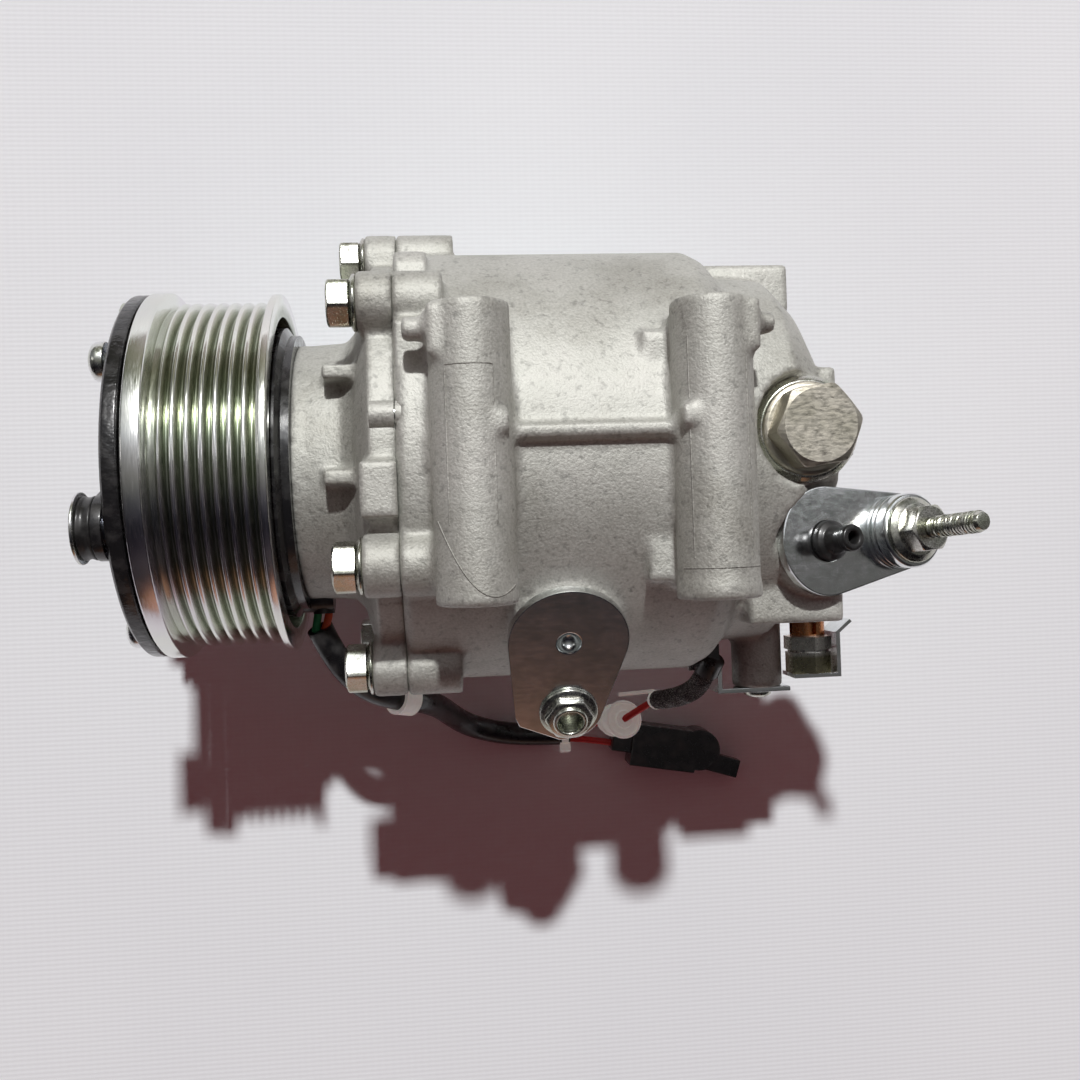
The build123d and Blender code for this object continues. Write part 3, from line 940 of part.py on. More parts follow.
# ---------------------------------------------------------------- leads
def build_leads():
    """Coil lead and switch lead with their wires, clip and connectors."""
    start = Vector(*COIL_LEAD_ROUTE[0])
    lead_end = Vector(*COIL_LEAD_ROUTE[-1])
    braid_end = Vector(*THERMAL_LEAD_ROUTE[-1])
    slope = Vector(*BULLET_DIRECTION).normalized()
    bullet_front = Vector(*BULLET_FRONT)
    bullet_end = bullet_front + slope * BULLET_LENGTH
    connector = Pos(*CONNECTOR_CENTRE) * Rot(0, 0, CONNECTOR_TURN)
    socket = (connector * Pos(-19.0, 2.0, 0)).position

    wires = []
    for offset in (-1.6, 1.6):
        root = (NOSE_FACE_X + EXIT_LENGTH / 2 + offset, EXIT_FACE_Y, EXIT_CENTRE[1])
        wires.append(straight_wire(root, (start.X + offset, start.Y, start.Z + 0.6), WIRE_RADIUS))
    wires.append(straight_wire(lead_end + Vector(0, -1.8, 0), socket, WIRE_RADIUS))
    wires.append(straight_wire(braid_end, bullet_front + slope * 0.5, WIRE_RADIUS))
    wires.append(straight_wire(lead_end + Vector(0, 1.8, 0), bullet_end, WIRE_RADIUS))
    add("lead_wires", *wires)
    add("coil_lead", lead(COIL_LEAD_ROUTE, COIL_LEAD_RADIUS))
    add("thermal_lead", lead(THERMAL_LEAD_ROUTE, THERMAL_LEAD_RADIUS))

    flange = BULLET_FLANGE_RADIUS
    bullet = rod(flange, 0, 2.2) + rod(flange - 1.6, 2.2, 8.6) + rod(flange - 0.8, 8.6, 10.4)
    bullet += rod(flange - 2.2, 10.4, BULLET_LENGTH)
    bullet -= tube(flange - 1.1, 2.9, -1.0, 0.9)
    add("bullet_connector", Plane(origin=bullet_front, z_dir=slope).location * bullet)

    body = Box(24, 15, 11) + Pos(-15.5, 1.5, 0) * Box(7, 9.5, 8)
    body += Pos(13, 1.0, 0) * Cylinder(7.4, 11) + Pos(23, -4.0, -1.5) * Rot(0, 0, -8) * Box(13, 6.6, 5)
    add("lead_connector", connector * body)

    before = Vector(*COIL_LEAD_ROUTE[3])
    run = Vector(*COIL_LEAD_ROUTE[4]) - before
    band = Plane(origin=before + run * 0.5, z_dir=run).location * tube(5.4, COIL_LEAD_RADIUS + 0.1, -3.2, 3.2)
    middle = before + run * 0.5
    tab = block(middle.X - 3.2, middle.X + 3.2, middle.Y + 4.6, -50.0, middle.Z - 1.0, middle.Z + 1.0)
    add("lead_clip", band + (tab - rod_x(FLANGE_RADIUS, 30, 60)))


build_pulley()
build_clutch_plate()
build_coil()
build_front_housing()
build_fasteners()
build_shell()
build_shaft()
build_scrolls()
build_suction_port()
build_discharge_port()
build_rear_fittings()
build_leads()

os.makedirs("parts", exist_ok=True)
for node, shape in PARTS.items():
    export_step(shape, f"parts/{node}.step")
print(len(PARTS), "nodes")
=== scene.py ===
"""Looks of a scroll air-conditioning compressor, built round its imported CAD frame.

Everything is in metres, in the frame of the CAD: +X runs along the shaft from the clutch to
the rear cover, +Z is up, and the compressor lies on its lower mounting tubes.
"""
from __future__ import annotations

import json
import logging
import math
from collections.abc import Iterable, Sequence
from dataclasses import dataclass
from enum import Enum

import bmesh
import bpy
from mathutils import Matrix, Vector

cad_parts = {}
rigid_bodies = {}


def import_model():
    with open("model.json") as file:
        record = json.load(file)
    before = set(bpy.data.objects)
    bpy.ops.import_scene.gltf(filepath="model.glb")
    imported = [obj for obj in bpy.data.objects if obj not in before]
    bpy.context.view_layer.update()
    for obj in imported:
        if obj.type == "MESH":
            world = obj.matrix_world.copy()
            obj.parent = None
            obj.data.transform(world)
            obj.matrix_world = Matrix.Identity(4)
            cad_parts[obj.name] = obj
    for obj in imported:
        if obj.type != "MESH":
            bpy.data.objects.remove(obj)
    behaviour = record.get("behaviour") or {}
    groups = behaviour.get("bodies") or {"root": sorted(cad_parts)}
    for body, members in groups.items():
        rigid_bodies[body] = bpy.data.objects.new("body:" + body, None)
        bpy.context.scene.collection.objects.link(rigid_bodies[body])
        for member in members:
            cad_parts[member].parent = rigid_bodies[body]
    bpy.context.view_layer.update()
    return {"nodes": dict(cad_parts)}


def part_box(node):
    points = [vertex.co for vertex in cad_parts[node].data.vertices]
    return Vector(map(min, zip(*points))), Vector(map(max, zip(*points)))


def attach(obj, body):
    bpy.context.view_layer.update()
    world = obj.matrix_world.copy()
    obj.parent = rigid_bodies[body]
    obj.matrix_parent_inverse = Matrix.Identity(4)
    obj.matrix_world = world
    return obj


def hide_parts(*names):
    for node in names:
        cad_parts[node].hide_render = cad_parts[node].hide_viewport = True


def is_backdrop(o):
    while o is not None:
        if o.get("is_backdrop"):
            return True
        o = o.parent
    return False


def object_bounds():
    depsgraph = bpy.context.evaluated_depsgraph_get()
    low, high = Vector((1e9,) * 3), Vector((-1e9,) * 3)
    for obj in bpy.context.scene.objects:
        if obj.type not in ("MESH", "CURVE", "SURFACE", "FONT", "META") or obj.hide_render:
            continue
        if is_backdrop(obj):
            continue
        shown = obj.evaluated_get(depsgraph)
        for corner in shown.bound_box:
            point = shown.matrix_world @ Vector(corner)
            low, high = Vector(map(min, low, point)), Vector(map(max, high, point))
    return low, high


LOG = logging.getLogger("compressor")
MM = 0.001
Colour = tuple[float, float, float]
Point = tuple[float, float, float]


class Body(Enum):
    """Bodies of the frame that visual pieces ride on."""

    ROOT = "root"
    PULLEY = "pulley"
    SHAFT = "shaft"
    ARMATURE = "armature"


class Sweep(Enum):
    """Hand of a helix, seen along its axis."""

    LEFT = -1
    RIGHT = 1


# ---------------------------------------------------------------- shader nodes
class Shader:
    """Node tree of one material, with short ways to add and join its nodes."""

    def __init__(self, name: str) -> None:
        """Starts a material that holds one Principled shader.

        Args:
            name: The material's name.
        """
        self.material = bpy.data.materials.new(name)
        self.material.use_nodes = True
        self.tree = self.material.node_tree
        self.bsdf = self.tree.nodes["Principled BSDF"]
        coordinates = self.tree.nodes.new("ShaderNodeTexCoord")
        self.place = coordinates.outputs["Object"]
        self.uv = coordinates.outputs["UV"]

    def node(self, kind: str, inputs: dict, **settings: object) -> bpy.types.Node:
        """Adds a node.

        Args:
            kind: The node's type name.
            inputs: Socket name or number to a value, or to a socket to join.
            settings: The node's own properties.

        Returns:
            The new node.
        """
        made = self.tree.nodes.new(kind)
        for key, value in settings.items():
            setattr(made, key, value)
        for key, value in inputs.items():
            self.feed(made.inputs[key], value)
        return made

    def feed(self, socket: bpy.types.NodeSocket, value: object) -> None:
        """Sets a socket to a value, or joins it to another socket.

        Args:
            socket: The input.
            value: A number, colour, vector or output socket.
        """
        if isinstance(value, bpy.types.NodeSocket):
            self.tree.links.new(value, socket)
        elif isinstance(value, tuple) and socket.type == "RGBA" and len(value) == 3:
            socket.default_value = (*value, 1.0)
        else:
            socket.default_value = value

    def set(self, **values: object) -> None:
        """Sets the Principled shader's inputs; underscores stand for spaces."""
        for key, value in values.items():
            self.feed(self.bsdf.inputs[key.replace("_", " ")], value)

    def noise(self, scale: float, detail: float = 3.0, place: object = None, rough: float = 0.55
              ) -> bpy.types.NodeSocket:
        """Adds a noise texture.

        Args:
            scale: Waves per metre.
            detail: Octaves.
            place: Coordinates, or none for the object's own.
            rough: How strong the finer octaves are.

        Returns:
            The noise value.
        """
        made = self.node("ShaderNodeTexNoise", {"Vector": place or self.place, "Scale": scale,
                                                "Detail": detail, "Roughness": rough})
        return made.outputs["Fac"]

    def ramp(self, factor: bpy.types.NodeSocket, stops: Sequence[tuple[float, Colour]]
             ) -> bpy.types.NodeSocket:
        """Adds a colour ramp.

        Args:
            factor: What drives the ramp.
            stops: Positions from 0 to 1 with their colours.

        Returns:
            The colour.
        """
        made = self.node("ShaderNodeValToRGB", {"Fac": factor})
        elements = made.color_ramp.elements
        while len(elements) < len(stops):
            elements.new(0.5)
        for element, (position, colour) in zip(elements, stops):
            element.position = position
            element.color = (*colour, 1.0)
        return made.outputs["Color"]

    def grey(self, factor: bpy.types.NodeSocket, low: float, high: float, start: float = 0.0,
             end: float = 1.0) -> bpy.types.NodeSocket:
        """Maps start..end of a value to low..high, clamped."""
        made = self.node("ShaderNodeMapRange", {"Value": factor, "From Min": start, "From Max": end,
                                                "To Min": low, "To Max": high})
        return made.outputs["Result"]

    def math(self, operation: str, *values: object) -> bpy.types.NodeSocket:
        """Adds a maths node and returns its value."""
        return self.node("ShaderNodeMath", dict(enumerate(values)), operation=operation).outputs[0]

    def mix(self, factor: object, first: object, second: object) -> bpy.types.NodeSocket:
        """Mixes two colours."""
        return self.node("ShaderNodeMixRGB", {"Fac": factor, "Color1": first, "Color2": second}
                         ).outputs["Color"]

    def axes(self) -> tuple[bpy.types.NodeSocket, ...]:
        """X, Y and Z of the object's coordinates."""
        return tuple(self.node("ShaderNodeSeparateXYZ", {"Vector": self.place}).outputs)

    def stretched(self, scale: Point) -> bpy.types.NodeSocket:
        """Object coordinates scaled apart, for grain that runs one way."""
        return self.node("ShaderNodeMapping", {"Vector": self.place, "Scale": scale}).outputs[0]

    def bump(self, height: bpy.types.NodeSocket, distance: float, strength: float = 1.0,
             under: bpy.types.NodeSocket | None = None) -> bpy.types.NodeSocket:
        """Adds a bump, on top of another when one is given.

        Args:
            height: The height value.
            distance: Its real height in metres.
            strength: How much of it shows.
            under: A bump to add to.

        Returns:
            The normal.
        """
        inputs = {"Height": height, "Distance": distance, "Strength": strength}
        if under is not None:
            inputs["Normal"] = under
        return self.node("ShaderNodeBump", inputs).outputs["Normal"]


@dataclass(frozen=True)
class Finish:
    """A surface finish: the record's slot it belongs to, and how it is shaded."""

    name: str
    slot: str

    def shade(self, shader: Shader) -> None:
        """Builds the finish's nodes; each kind of finish has its own."""
        raise NotImplementedError

    def material(self) -> bpy.types.Material:
        """The finish's material, made once."""
        label = self.name + "_finish"
        known = bpy.data.materials.get(label)
        if known is not None:
            return known
        shader = Shader(label)
        self.shade(shader)
        return shader.material


@dataclass(frozen=True)
class CastFinish(Finish):
    """Blasted die-cast aluminium: fine pebbled grain, soft sheen and faint stains."""

    light: Colour = (0.50, 0.51, 0.475)
    dark: Colour = (0.32, 0.32, 0.285)

    def shade(self, shader: Shader) -> None:
        """Mixes a cloudy colour and two sizes of grain."""
        cloud = shader.noise(38.0, 4.0)
        grain = shader.noise(1500.0, 2.0)
        pits = shader.noise(520.0, 3.0)
        tone = shader.ramp(cloud, [(0.30, self.dark), (0.52, self.light), (0.75, (0.56, 0.56, 0.53))])
        speck = shader.grey(pits, 0.72, 1.0, 0.30, 0.44)
        colour = shader.mix(0.35, tone, shader.ramp(grain, [(0.3, self.dark), (0.65, (0.66, 0.66, 0.62))]))
        colour = shader.node("ShaderNodeMixRGB", {"Fac": 1.0, "Color1": colour, "Color2": speck},
                             blend_type="MULTIPLY").outputs["Color"]
        coarse = shader.bump(pits, 0.00022, 0.55)
        shader.set(Base_Color=colour, Metallic=0.55, Roughness=shader.grey(grain, 0.52, 0.74),
                   Normal=shader.bump(grain, 0.00016, 0.85, coarse))


@dataclass(frozen=True)
class PlatedFinish(Finish):
    """Bright plated or turned steel, with a slight tint, fine scratches and handling marks."""

    base: Colour = (0.72, 0.72, 0.70)
    tint: Colour = (0.58, 0.60, 0.52)
    roughness: float = 0.22
    grain: Point = (1.0, 1.0, 1.0)
    grain_depth: float = 0.00002

    def shade(self, shader: Shader) -> None:
        """Tints the metal in clouds and scratches it along its grain."""
        cloud = shader.noise(160.0, 3.0)
        scratch = shader.noise(900.0, 4.0, shader.stretched(self.grain), 0.7)
        colour = shader.ramp(cloud, [(0.35, self.tint), (0.6, self.base)])
        rough = shader.grey(scratch, self.roughness * 0.7, self.roughness * 1.7, 0.3, 0.75)
        shader.set(Base_Color=colour, Metallic=1.0, Roughness=rough,
                   Normal=shader.bump(scratch, self.grain_depth, 0.7))


@dataclass(frozen=True)
class RainbowZincFinish(Finish):
    """Zinc plating with a passivation film that shifts from silver to olive, lilac and rose."""

    def shade(self, shader: Shader) -> None:
        """Darkens the colour towards the groove roots, which is painted shade with the film's olive tint,
        colours the film in slow clouds, and adds turning marks.
        """
        x, y, z = shader.axes()
        around = shader.math("ARCTAN2", y, z)
        radius = shader.math("SQRT", shader.math("ADD", shader.math("MULTIPLY", y, y),
                                                 shader.math("MULTIPLY", z, z)))
        depth = shader.grey(radius, 0.0, 1.0, 0.0471, 0.0500)
        cloud = shader.noise(26.0, 3.0)
        lobes = shader.math("SINE", shader.math("MULTIPLY", around, 3.0))
        film = shader.math("ADD", shader.math("MULTIPLY", cloud, 0.9), shader.math("MULTIPLY", lobes, 0.14))
        film_colour = shader.ramp(film, [(0.22, (0.62, 0.50, 0.66)), (0.34, (0.78, 0.74, 0.80)),
                                         (0.46, (0.76, 0.80, 0.70)), (0.58, (0.84, 0.81, 0.70)),
                                         (0.70, (0.84, 0.80, 0.83)), (0.82, (0.80, 0.56, 0.62))])
        # Darker and olive towards the groove roots: painted shade in the grooves, with the film's olive tint;
        # silver at the crests.
        groove_shade_and_tint = shader.ramp(depth, [(0.0, (0.34, 0.37, 0.30)), (0.45, (0.58, 0.60, 0.53)),
                                     (0.85, (0.90, 0.90, 0.88)), (1.0, (0.93, 0.93, 0.92))])
        turning = shader.noise(420.0, 3.0, shader.stretched((9.0, 0.6, 0.6)), 0.7)
        colour = shader.node("ShaderNodeMixRGB", {"Fac": 0.62, "Color1": groove_shade_and_tint, "Color2": film_colour},
                             blend_type="MULTIPLY").outputs["Color"]
        shader.set(Base_Color=shader.mix(0.35, colour, groove_shade_and_tint), Metallic=1.0,
                   Roughness=shader.grey(turning, 0.10, 0.27, 0.3, 0.7),
                   Normal=shader.bump(turning, 0.00003, 0.55))


@dataclass(frozen=True)
class BlackFinish(Finish):
    """Glossy black paint, moulding or rubber, with dust and scuffs."""

    base: Colour = (0.012, 0.012, 0.013)
    scuff: Colour = (0.05, 0.05, 0.05)
    roughness: float = 0.22
    ripple: float = 0.00006
    coat: float = 0.3

    def shade(self, shader: Shader) -> None:
        """Adds a faint orange-peel ripple and dusty clouds."""
        dust = shader.noise(210.0, 5.0)
        peel = shader.noise(650.0, 2.0)
        shader.set(Base_Color=shader.ramp(dust, [(0.48, self.base), (0.80, self.scuff)]),
                   Roughness=shader.grey(dust, self.roughness * 0.7, self.roughness * 1.9, 0.35, 0.75),
                   Coat_Weight=self.coat, Coat_Roughness=0.12,
                   Normal=shader.bump(peel, self.ripple, 0.6))


@dataclass(frozen=True)
class ChatteredFinish(BlackFinish):
    """Black paint over a turned rim whose tool chatter shows as short marks round the axis."""

    marks: float = 150.0

    def shade(self, shader: Shader) -> None:
        """Adds marks that run along the axis to the paint."""
        super().shade(shader)
        x, y, z = shader.axes()
        around = shader.math("MULTIPLY", shader.math("ARCTAN2", y, z), self.marks / (2 * math.pi))
        row = shader.node("ShaderNodeCombineXYZ", {"X": around, "Y": shader.math("MULTIPLY", x, 300.0)})
        chatter = shader.noise(1.0, 2.0, row.outputs[0])
        shader.set(Normal=shader.bump(chatter, 0.0005, 0.55), Roughness=0.16)


@dataclass(frozen=True)
class ValveFinish(PlatedFinish):
    """Relief valve: copper neck, satin ring and olive hexagon, one after the other along -Y."""

    def shade(self, shader: Shader) -> None:
        """Bands the metal's colour by its place along the valve."""
        super().shade(shader)
        _, y, _ = shader.axes()
        place = shader.grey(y, 0.0, 1.0, -0.0665, -0.0475)
        bands = shader.ramp(place, [(0.0, (0.40, 0.37, 0.24)), (0.30, (0.34, 0.32, 0.22)),
                                    (0.36, (0.70, 0.68, 0.64)), (0.62, (0.62, 0.60, 0.56)),
                                    (0.66, (0.66, 0.28, 0.12)), (0.88, (0.55, 0.24, 0.12)),
                                    (0.91, (0.75, 0.73, 0.70))])
        shader.set(Base_Color=bands)


@dataclass(frozen=True)
class NylonFinish(Finish):
    """Milky nylon that lets a little light through, with a faint glow that is painted light."""

    base: Colour = (0.80, 0.79, 0.74)

    def shade(self, shader: Shader) -> None:
        """Uses a soft subsurface, a slight mould texture and a faint emission that is painted light,
        brightening it in shade.
        """
        mould = shader.noise(700.0, 2.0)
        dull = tuple(c * 0.92 for c in self.base)
        # The emission below is painted light: a glow that brightens the nylon where it stands in shade.
        shader.set(Base_Color=shader.ramp(mould, [(0.3, dull), (0.7, self.base)]),
                   Roughness=0.35, Subsurface_Weight=0.35, Subsurface_Scale=0.002,
                   Emission_Color=self.base, Emission_Strength=0.16,
                   Normal=shader.bump(mould, 0.00003, 0.5))


@dataclass(frozen=True)
class WireFinish(Finish):
    """Insulated wire in one colour."""

    base: Colour = (0.70, 0.03, 0.03)

    def shade(self, shader: Shader) -> None:
        """Adds a soft sheen and slight colour variation."""
        cloud = shader.noise(500.0, 2.0)
        dull = tuple(c * 0.8 for c in self.base)
        shader.set(Base_Color=shader.ramp(cloud, [(0.3, dull), (0.7, self.base)]),
                   Roughness=0.38, Normal=shader.bump(cloud, 0.00003, 0.4))


@dataclass(frozen=True)
class FabricFinish(Finish):
    """Black woven sleeve whose raised yarns catch the light, shown as painted highlights on the yarn."""

    base: Colour = (0.008, 0.008, 0.008)
    painted_glint: Colour = (0.45, 0.46, 0.42)

    def shade(self, shader: Shader) -> None:
        """Flecks the yarn along its length with pale painted highlights."""
        yarn = shader.noise(3200.0, 2.0)
        # The pale flecks are painted highlights where raised yarns would catch the light.
        shader.set(Base_Color=shader.ramp(yarn, [(0.54, self.base), (0.66, self.painted_glint)]), Roughness=0.5,
                   Sheen_Weight=0.25, Normal=shader.bump(yarn, 0.00010, 0.8))


@dataclass(frozen=True)
class FloorFinish(Finish):
    """White ribbed packing foam with a fine cross weave."""

    def shade(self, shader: Shader) -> None:
        """Draws fine ribs along X and a weaker weave across them."""
        x, y, _ = shader.axes()
        ribs = shader.math("SINE", shader.math("MULTIPLY", y, 2 * math.pi / 0.00165))
        weave = shader.math("SINE", shader.math("MULTIPLY", x, 2 * math.pi / 0.0026))
        height = shader.math("ADD", ribs, shader.math("MULTIPLY", weave, 0.4))
        cloud = shader.noise(6.0, 3.0)
        tone = shader.ramp(cloud, [(0.3, (0.845, 0.900, 0.935)), (0.7, (0.885, 0.940, 0.970))])
        shade = shader.mix(shader.grey(height, 0.0, 0.10, -1.4, 1.4), tone, (0.68, 0.72, 0.76))
        shader.set(Base_Color=shade, Roughness=0.8, Specular_IOR_Level=0.0,
                   Normal=shader.bump(height, 0.00006, 0.30))


CAST = CastFinish("cast_aluminium", "cast_aluminium")
# Parting-line finish: its darker colour is painted shade along the raised lines.
SHADED_FLASH = CastFinish("cast_flash_painted_shade", "cast_aluminium", light=(0.30, 0.30, 0.275), dark=(0.20, 0.20, 0.18))
ZINC = RainbowZincFinish("rainbow_zinc", "zinc_pulley")
PAINT = BlackFinish("black_paint", "black_paint")
CHATTER = ChatteredFinish("chattered_paint", "black_paint")
MOULDED = BlackFinish("moulded_black", "moulded_black", roughness=0.28, ripple=0.00003)
RUBBER = BlackFinish("black_rubber", "rubber", base=(0.014, 0.014, 0.014), roughness=0.34, coat=0.1)
SLEEVE = BlackFinish("lead_sleeve", "sleeve", base=(0.010, 0.010, 0.011), roughness=0.30, coat=0.15)
BOLT = PlatedFinish("zinc_bolts", "zinc_bolts", base=(0.62, 0.61, 0.57), tint=(0.50, 0.52, 0.43))
PLATE = PlatedFinish("bright_plate", "bright_plate", base=(0.83, 0.84, 0.85), tint=(0.70, 0.73, 0.72),
                     roughness=0.14, grain=(0.35, 1.0, 1.0), grain_depth=0.000008)
PLUG = PlatedFinish("plug_steel", "plug_steel", base=(0.62, 0.58, 0.50), tint=(0.50, 0.47, 0.39),
                    roughness=0.36, grain=(0.5, 1.4, 1.0), grain_depth=0.00005)
RIVET = PlatedFinish("rivet_steel", "rivet_steel", base=(0.82, 0.82, 0.83), roughness=0.20)
BEARING = PlatedFinish("bearing_steel", "bearing_steel", base=(0.70, 0.71, 0.73), roughness=0.16,
                       grain=(1.0, 0.4, 0.4))
SPRING = PlatedFinish("spring_steel", "spring_steel", base=(0.38, 0.40, 0.45), tint=(0.25, 0.27, 0.34))
MACHINED = PlatedFinish("scroll_aluminium", "scroll_aluminium", base=(0.80, 0.81, 0.82),
                        tint=(0.72, 0.73, 0.74), roughness=0.28, grain=(2.0, 0.5, 0.5))
IRON = PlatedFinish("iron", "iron", base=(0.30, 0.30, 0.31), tint=(0.22, 0.22, 0.22), roughness=0.5,
                    grain_depth=0.0001)
BRASS = ValveFinish("valve_brass", "brass", base=(0.72, 0.42, 0.22), tint=(0.52, 0.30, 0.16),
                     roughness=0.26)
# Nylon with a painted glow from its emission.
GLOWING_NYLON = NylonFinish("white_nylon", "white_nylon")
BRAID = FabricFinish("braided_sleeve", "braid")
RED_WIRE = WireFinish("red_wire", "wire")
GREEN_WIRE = WireFinish("green_wire", "wire", base=(0.02, 0.36, 0.13))
ORANGE_WIRE = WireFinish("orange_wire", "wire", base=(0.78, 0.14, 0.05))


# ---------------------------------------------------------------- geometry trees
class GeometryTree:
    """A Geometry Nodes group with named inputs, run once on a mesh and turned into a plain piece."""

    def __init__(self, name: str, inputs: Sequence[tuple[str, str]]) -> None:
        """Starts a group.

        Args:
            name: The group's name.
            inputs: Names of its inputs, each with its kind, such as Float or Material.
        """
        self.group = bpy.data.node_groups.new(name, "GeometryNodeTree")
        face = self.group.interface
        face.new_socket("Geometry", in_out="INPUT", socket_type="NodeSocketGeometry")
        self.ids = {}
        for label, kind in inputs:
            socket = face.new_socket(label, in_out="INPUT", socket_type=f"NodeSocket{kind}")
            self.ids[label] = socket.identifier
        face.new_socket("Geometry", in_out="OUTPUT", socket_type="NodeSocketGeometry")
        self.given = self.group.nodes.new("NodeGroupInput").outputs

    def node(self, kind: str, inputs: dict | None = None, **settings: object
             ) -> bpy.types.bpy_prop_collection:
        """Adds a node, sets or joins its inputs and returns its outputs."""
        made = self.group.nodes.new(kind)
        for key, value in settings.items():
            setattr(made, key, value)
        for key, value in (inputs or {}).items():
            if isinstance(value, bpy.types.NodeSocket):
                self.group.links.new(value, made.inputs[key])
            else:
                made.inputs[key].default_value = value
        return made.outputs

    def close(self, geometry: bpy.types.NodeSocket) -> None:
        """Ends the group in Realize Instances and Set Material.

        Args:
            geometry: The finished geometry.
        """
        real = self.node("GeometryNodeRealizeInstances", {"Geometry": geometry})[0]
        painted = self.node("GeometryNodeSetMaterial", {"Geometry": real, "Material": self.given["Finish"]})
        end = self.group.nodes.new("NodeGroupOutput")
        self.group.links.new(painted[0], end.inputs[0])

    def run(self, mesh: bpy.types.Mesh, **values: object) -> bpy.types.Mesh:
        """Runs the group on a mesh.

        Args:
            mesh: The mesh that goes in.
            values: The inputs, with underscores for spaces.

        Returns:
            The plain mesh that comes out.
        """
        holder = bpy.data.objects.new("holder", mesh)
        bpy.context.scene.collection.objects.link(holder)
        modifier = holder.modifiers.new("tree", "NODES")
        modifier.node_group = self.group
        for key, value in values.items():
            modifier[self.ids[key.replace("_", " ")]] = value
        graph = bpy.context.evaluated_depsgraph_get()
        made = bpy.data.meshes.new_from_object(holder.evaluated_get(graph))
        bpy.data.objects.remove(holder)
        return made


def turning_tree() -> GeometryTree:
    """Tree that turns a closed profile about its axis, as a lathe does."""
    tree = GeometryTree("turning", [("Ring", "Float"), ("Facets", "Int"), ("Finish", "Material")])
    profile = tree.node("GeometryNodeMeshToCurve", {"Mesh": tree.given["Geometry"]})[0]
    ring = tree.node("GeometryNodeCurvePrimitiveCircle",
                     {"Resolution": tree.given["Facets"], "Radius": tree.given["Ring"]}, mode="RADIUS")
    solid = tree.node("GeometryNodeCurveToMesh", {"Curve": ring["Curve"], "Profile Curve": profile})[0]
    merged = tree.node("GeometryNodeMergeByDistance", {"Geometry": solid, "Distance": 1e-6})[0]
    tree.close(merged)
    return tree


def thread_tree() -> GeometryTree:
    """Tree that winds one ridge of a screw thread as a helix along Z."""
    tree = GeometryTree("screw_thread", [("Radius", "Float"), ("Ridge", "Float"), ("Turns", "Float"),
                                         ("Height", "Float"), ("Finish", "Material")])
    helix = tree.node("GeometryNodeCurveSpiral",
                      {"Resolution": 40, "Rotations": tree.given["Turns"],
                       "Start Radius": tree.given["Radius"], "End Radius": tree.given["Radius"],
                       "Height": tree.given["Height"]})[0]
    ridge = tree.node("GeometryNodeCurvePrimitiveCircle", {"Resolution": 4, "Radius": tree.given["Ridge"]},
                      mode="RADIUS")
    solid = tree.node("GeometryNodeCurveToMesh", {"Curve": helix, "Profile Curve": ridge["Curve"],
                                                  "Fill Caps": True})[0]
    tree.close(solid)
    return tree


def pattern_tree() -> GeometryTree:
    """Tree that sets a copy of one part on every given point."""
    tree = GeometryTree("fastener_pattern", [("Part", "Object"), ("Finish", "Material")])
    part = tree.node("GeometryNodeObjectInfo", {"Object": tree.given["Part"]})["Geometry"]
    placed = tree.node("GeometryNodeInstanceOnPoints", {"Points": tree.given["Geometry"], "Instance": part})
    tree.close(placed[0])
    return tree


# ---------------------------------------------------------------- mesh making
def soft_profile(corners: Sequence[tuple[float, float]], radius: float, steps: int = 3
                 ) -> list[tuple[float, float]]:
    """Rounds the corners of a closed profile.

    Args:
        corners: Axial place and radius of each corner, in millimetres.
        radius: Largest reach of a rounding along its edges, in millimetres.
        steps: Pieces of each rounding.

    Returns:
        The rounded profile.
    """
    made = []
    count = len(corners)
    for index, (a, r) in enumerate(corners):
        here = Vector((a, r))
        before = Vector(corners[index - 1]) - here
        after = Vector(corners[(index + 1) % count]) - here
        reach = min(radius, before.length * 0.42, after.length * 0.42)
        if r < 1e-6 or reach < 1e-6:
            made.append((a, r))
            continue
        start = here + before.normalized() * reach
        end = here + after.normalized() * reach
        for step in range(steps + 1):
            t = step / steps
            point = start * (1 - t) ** 2 + here * 2 * t * (1 - t) + end * t ** 2
            made.append((point.x, point.y))
    return made


def along(place: Sequence[float], direction: Sequence[float]) -> Matrix:
    """Placement whose local Z runs along a direction from a place."""
    turn = Vector(direction).to_track_quat("Z", "Y").to_matrix().to_4x4()
    return Matrix.Translation(Vector(place)) @ turn


def smooth(mesh: bpy.types.Mesh, angle: float = 32.0) -> bpy.types.Mesh:
    """Shades a mesh smooth, with edges sharper than an angle kept sharp."""
    mesh.shade_smooth()
    mesh.set_sharp_from_angle(angle=math.radians(angle))
    return mesh


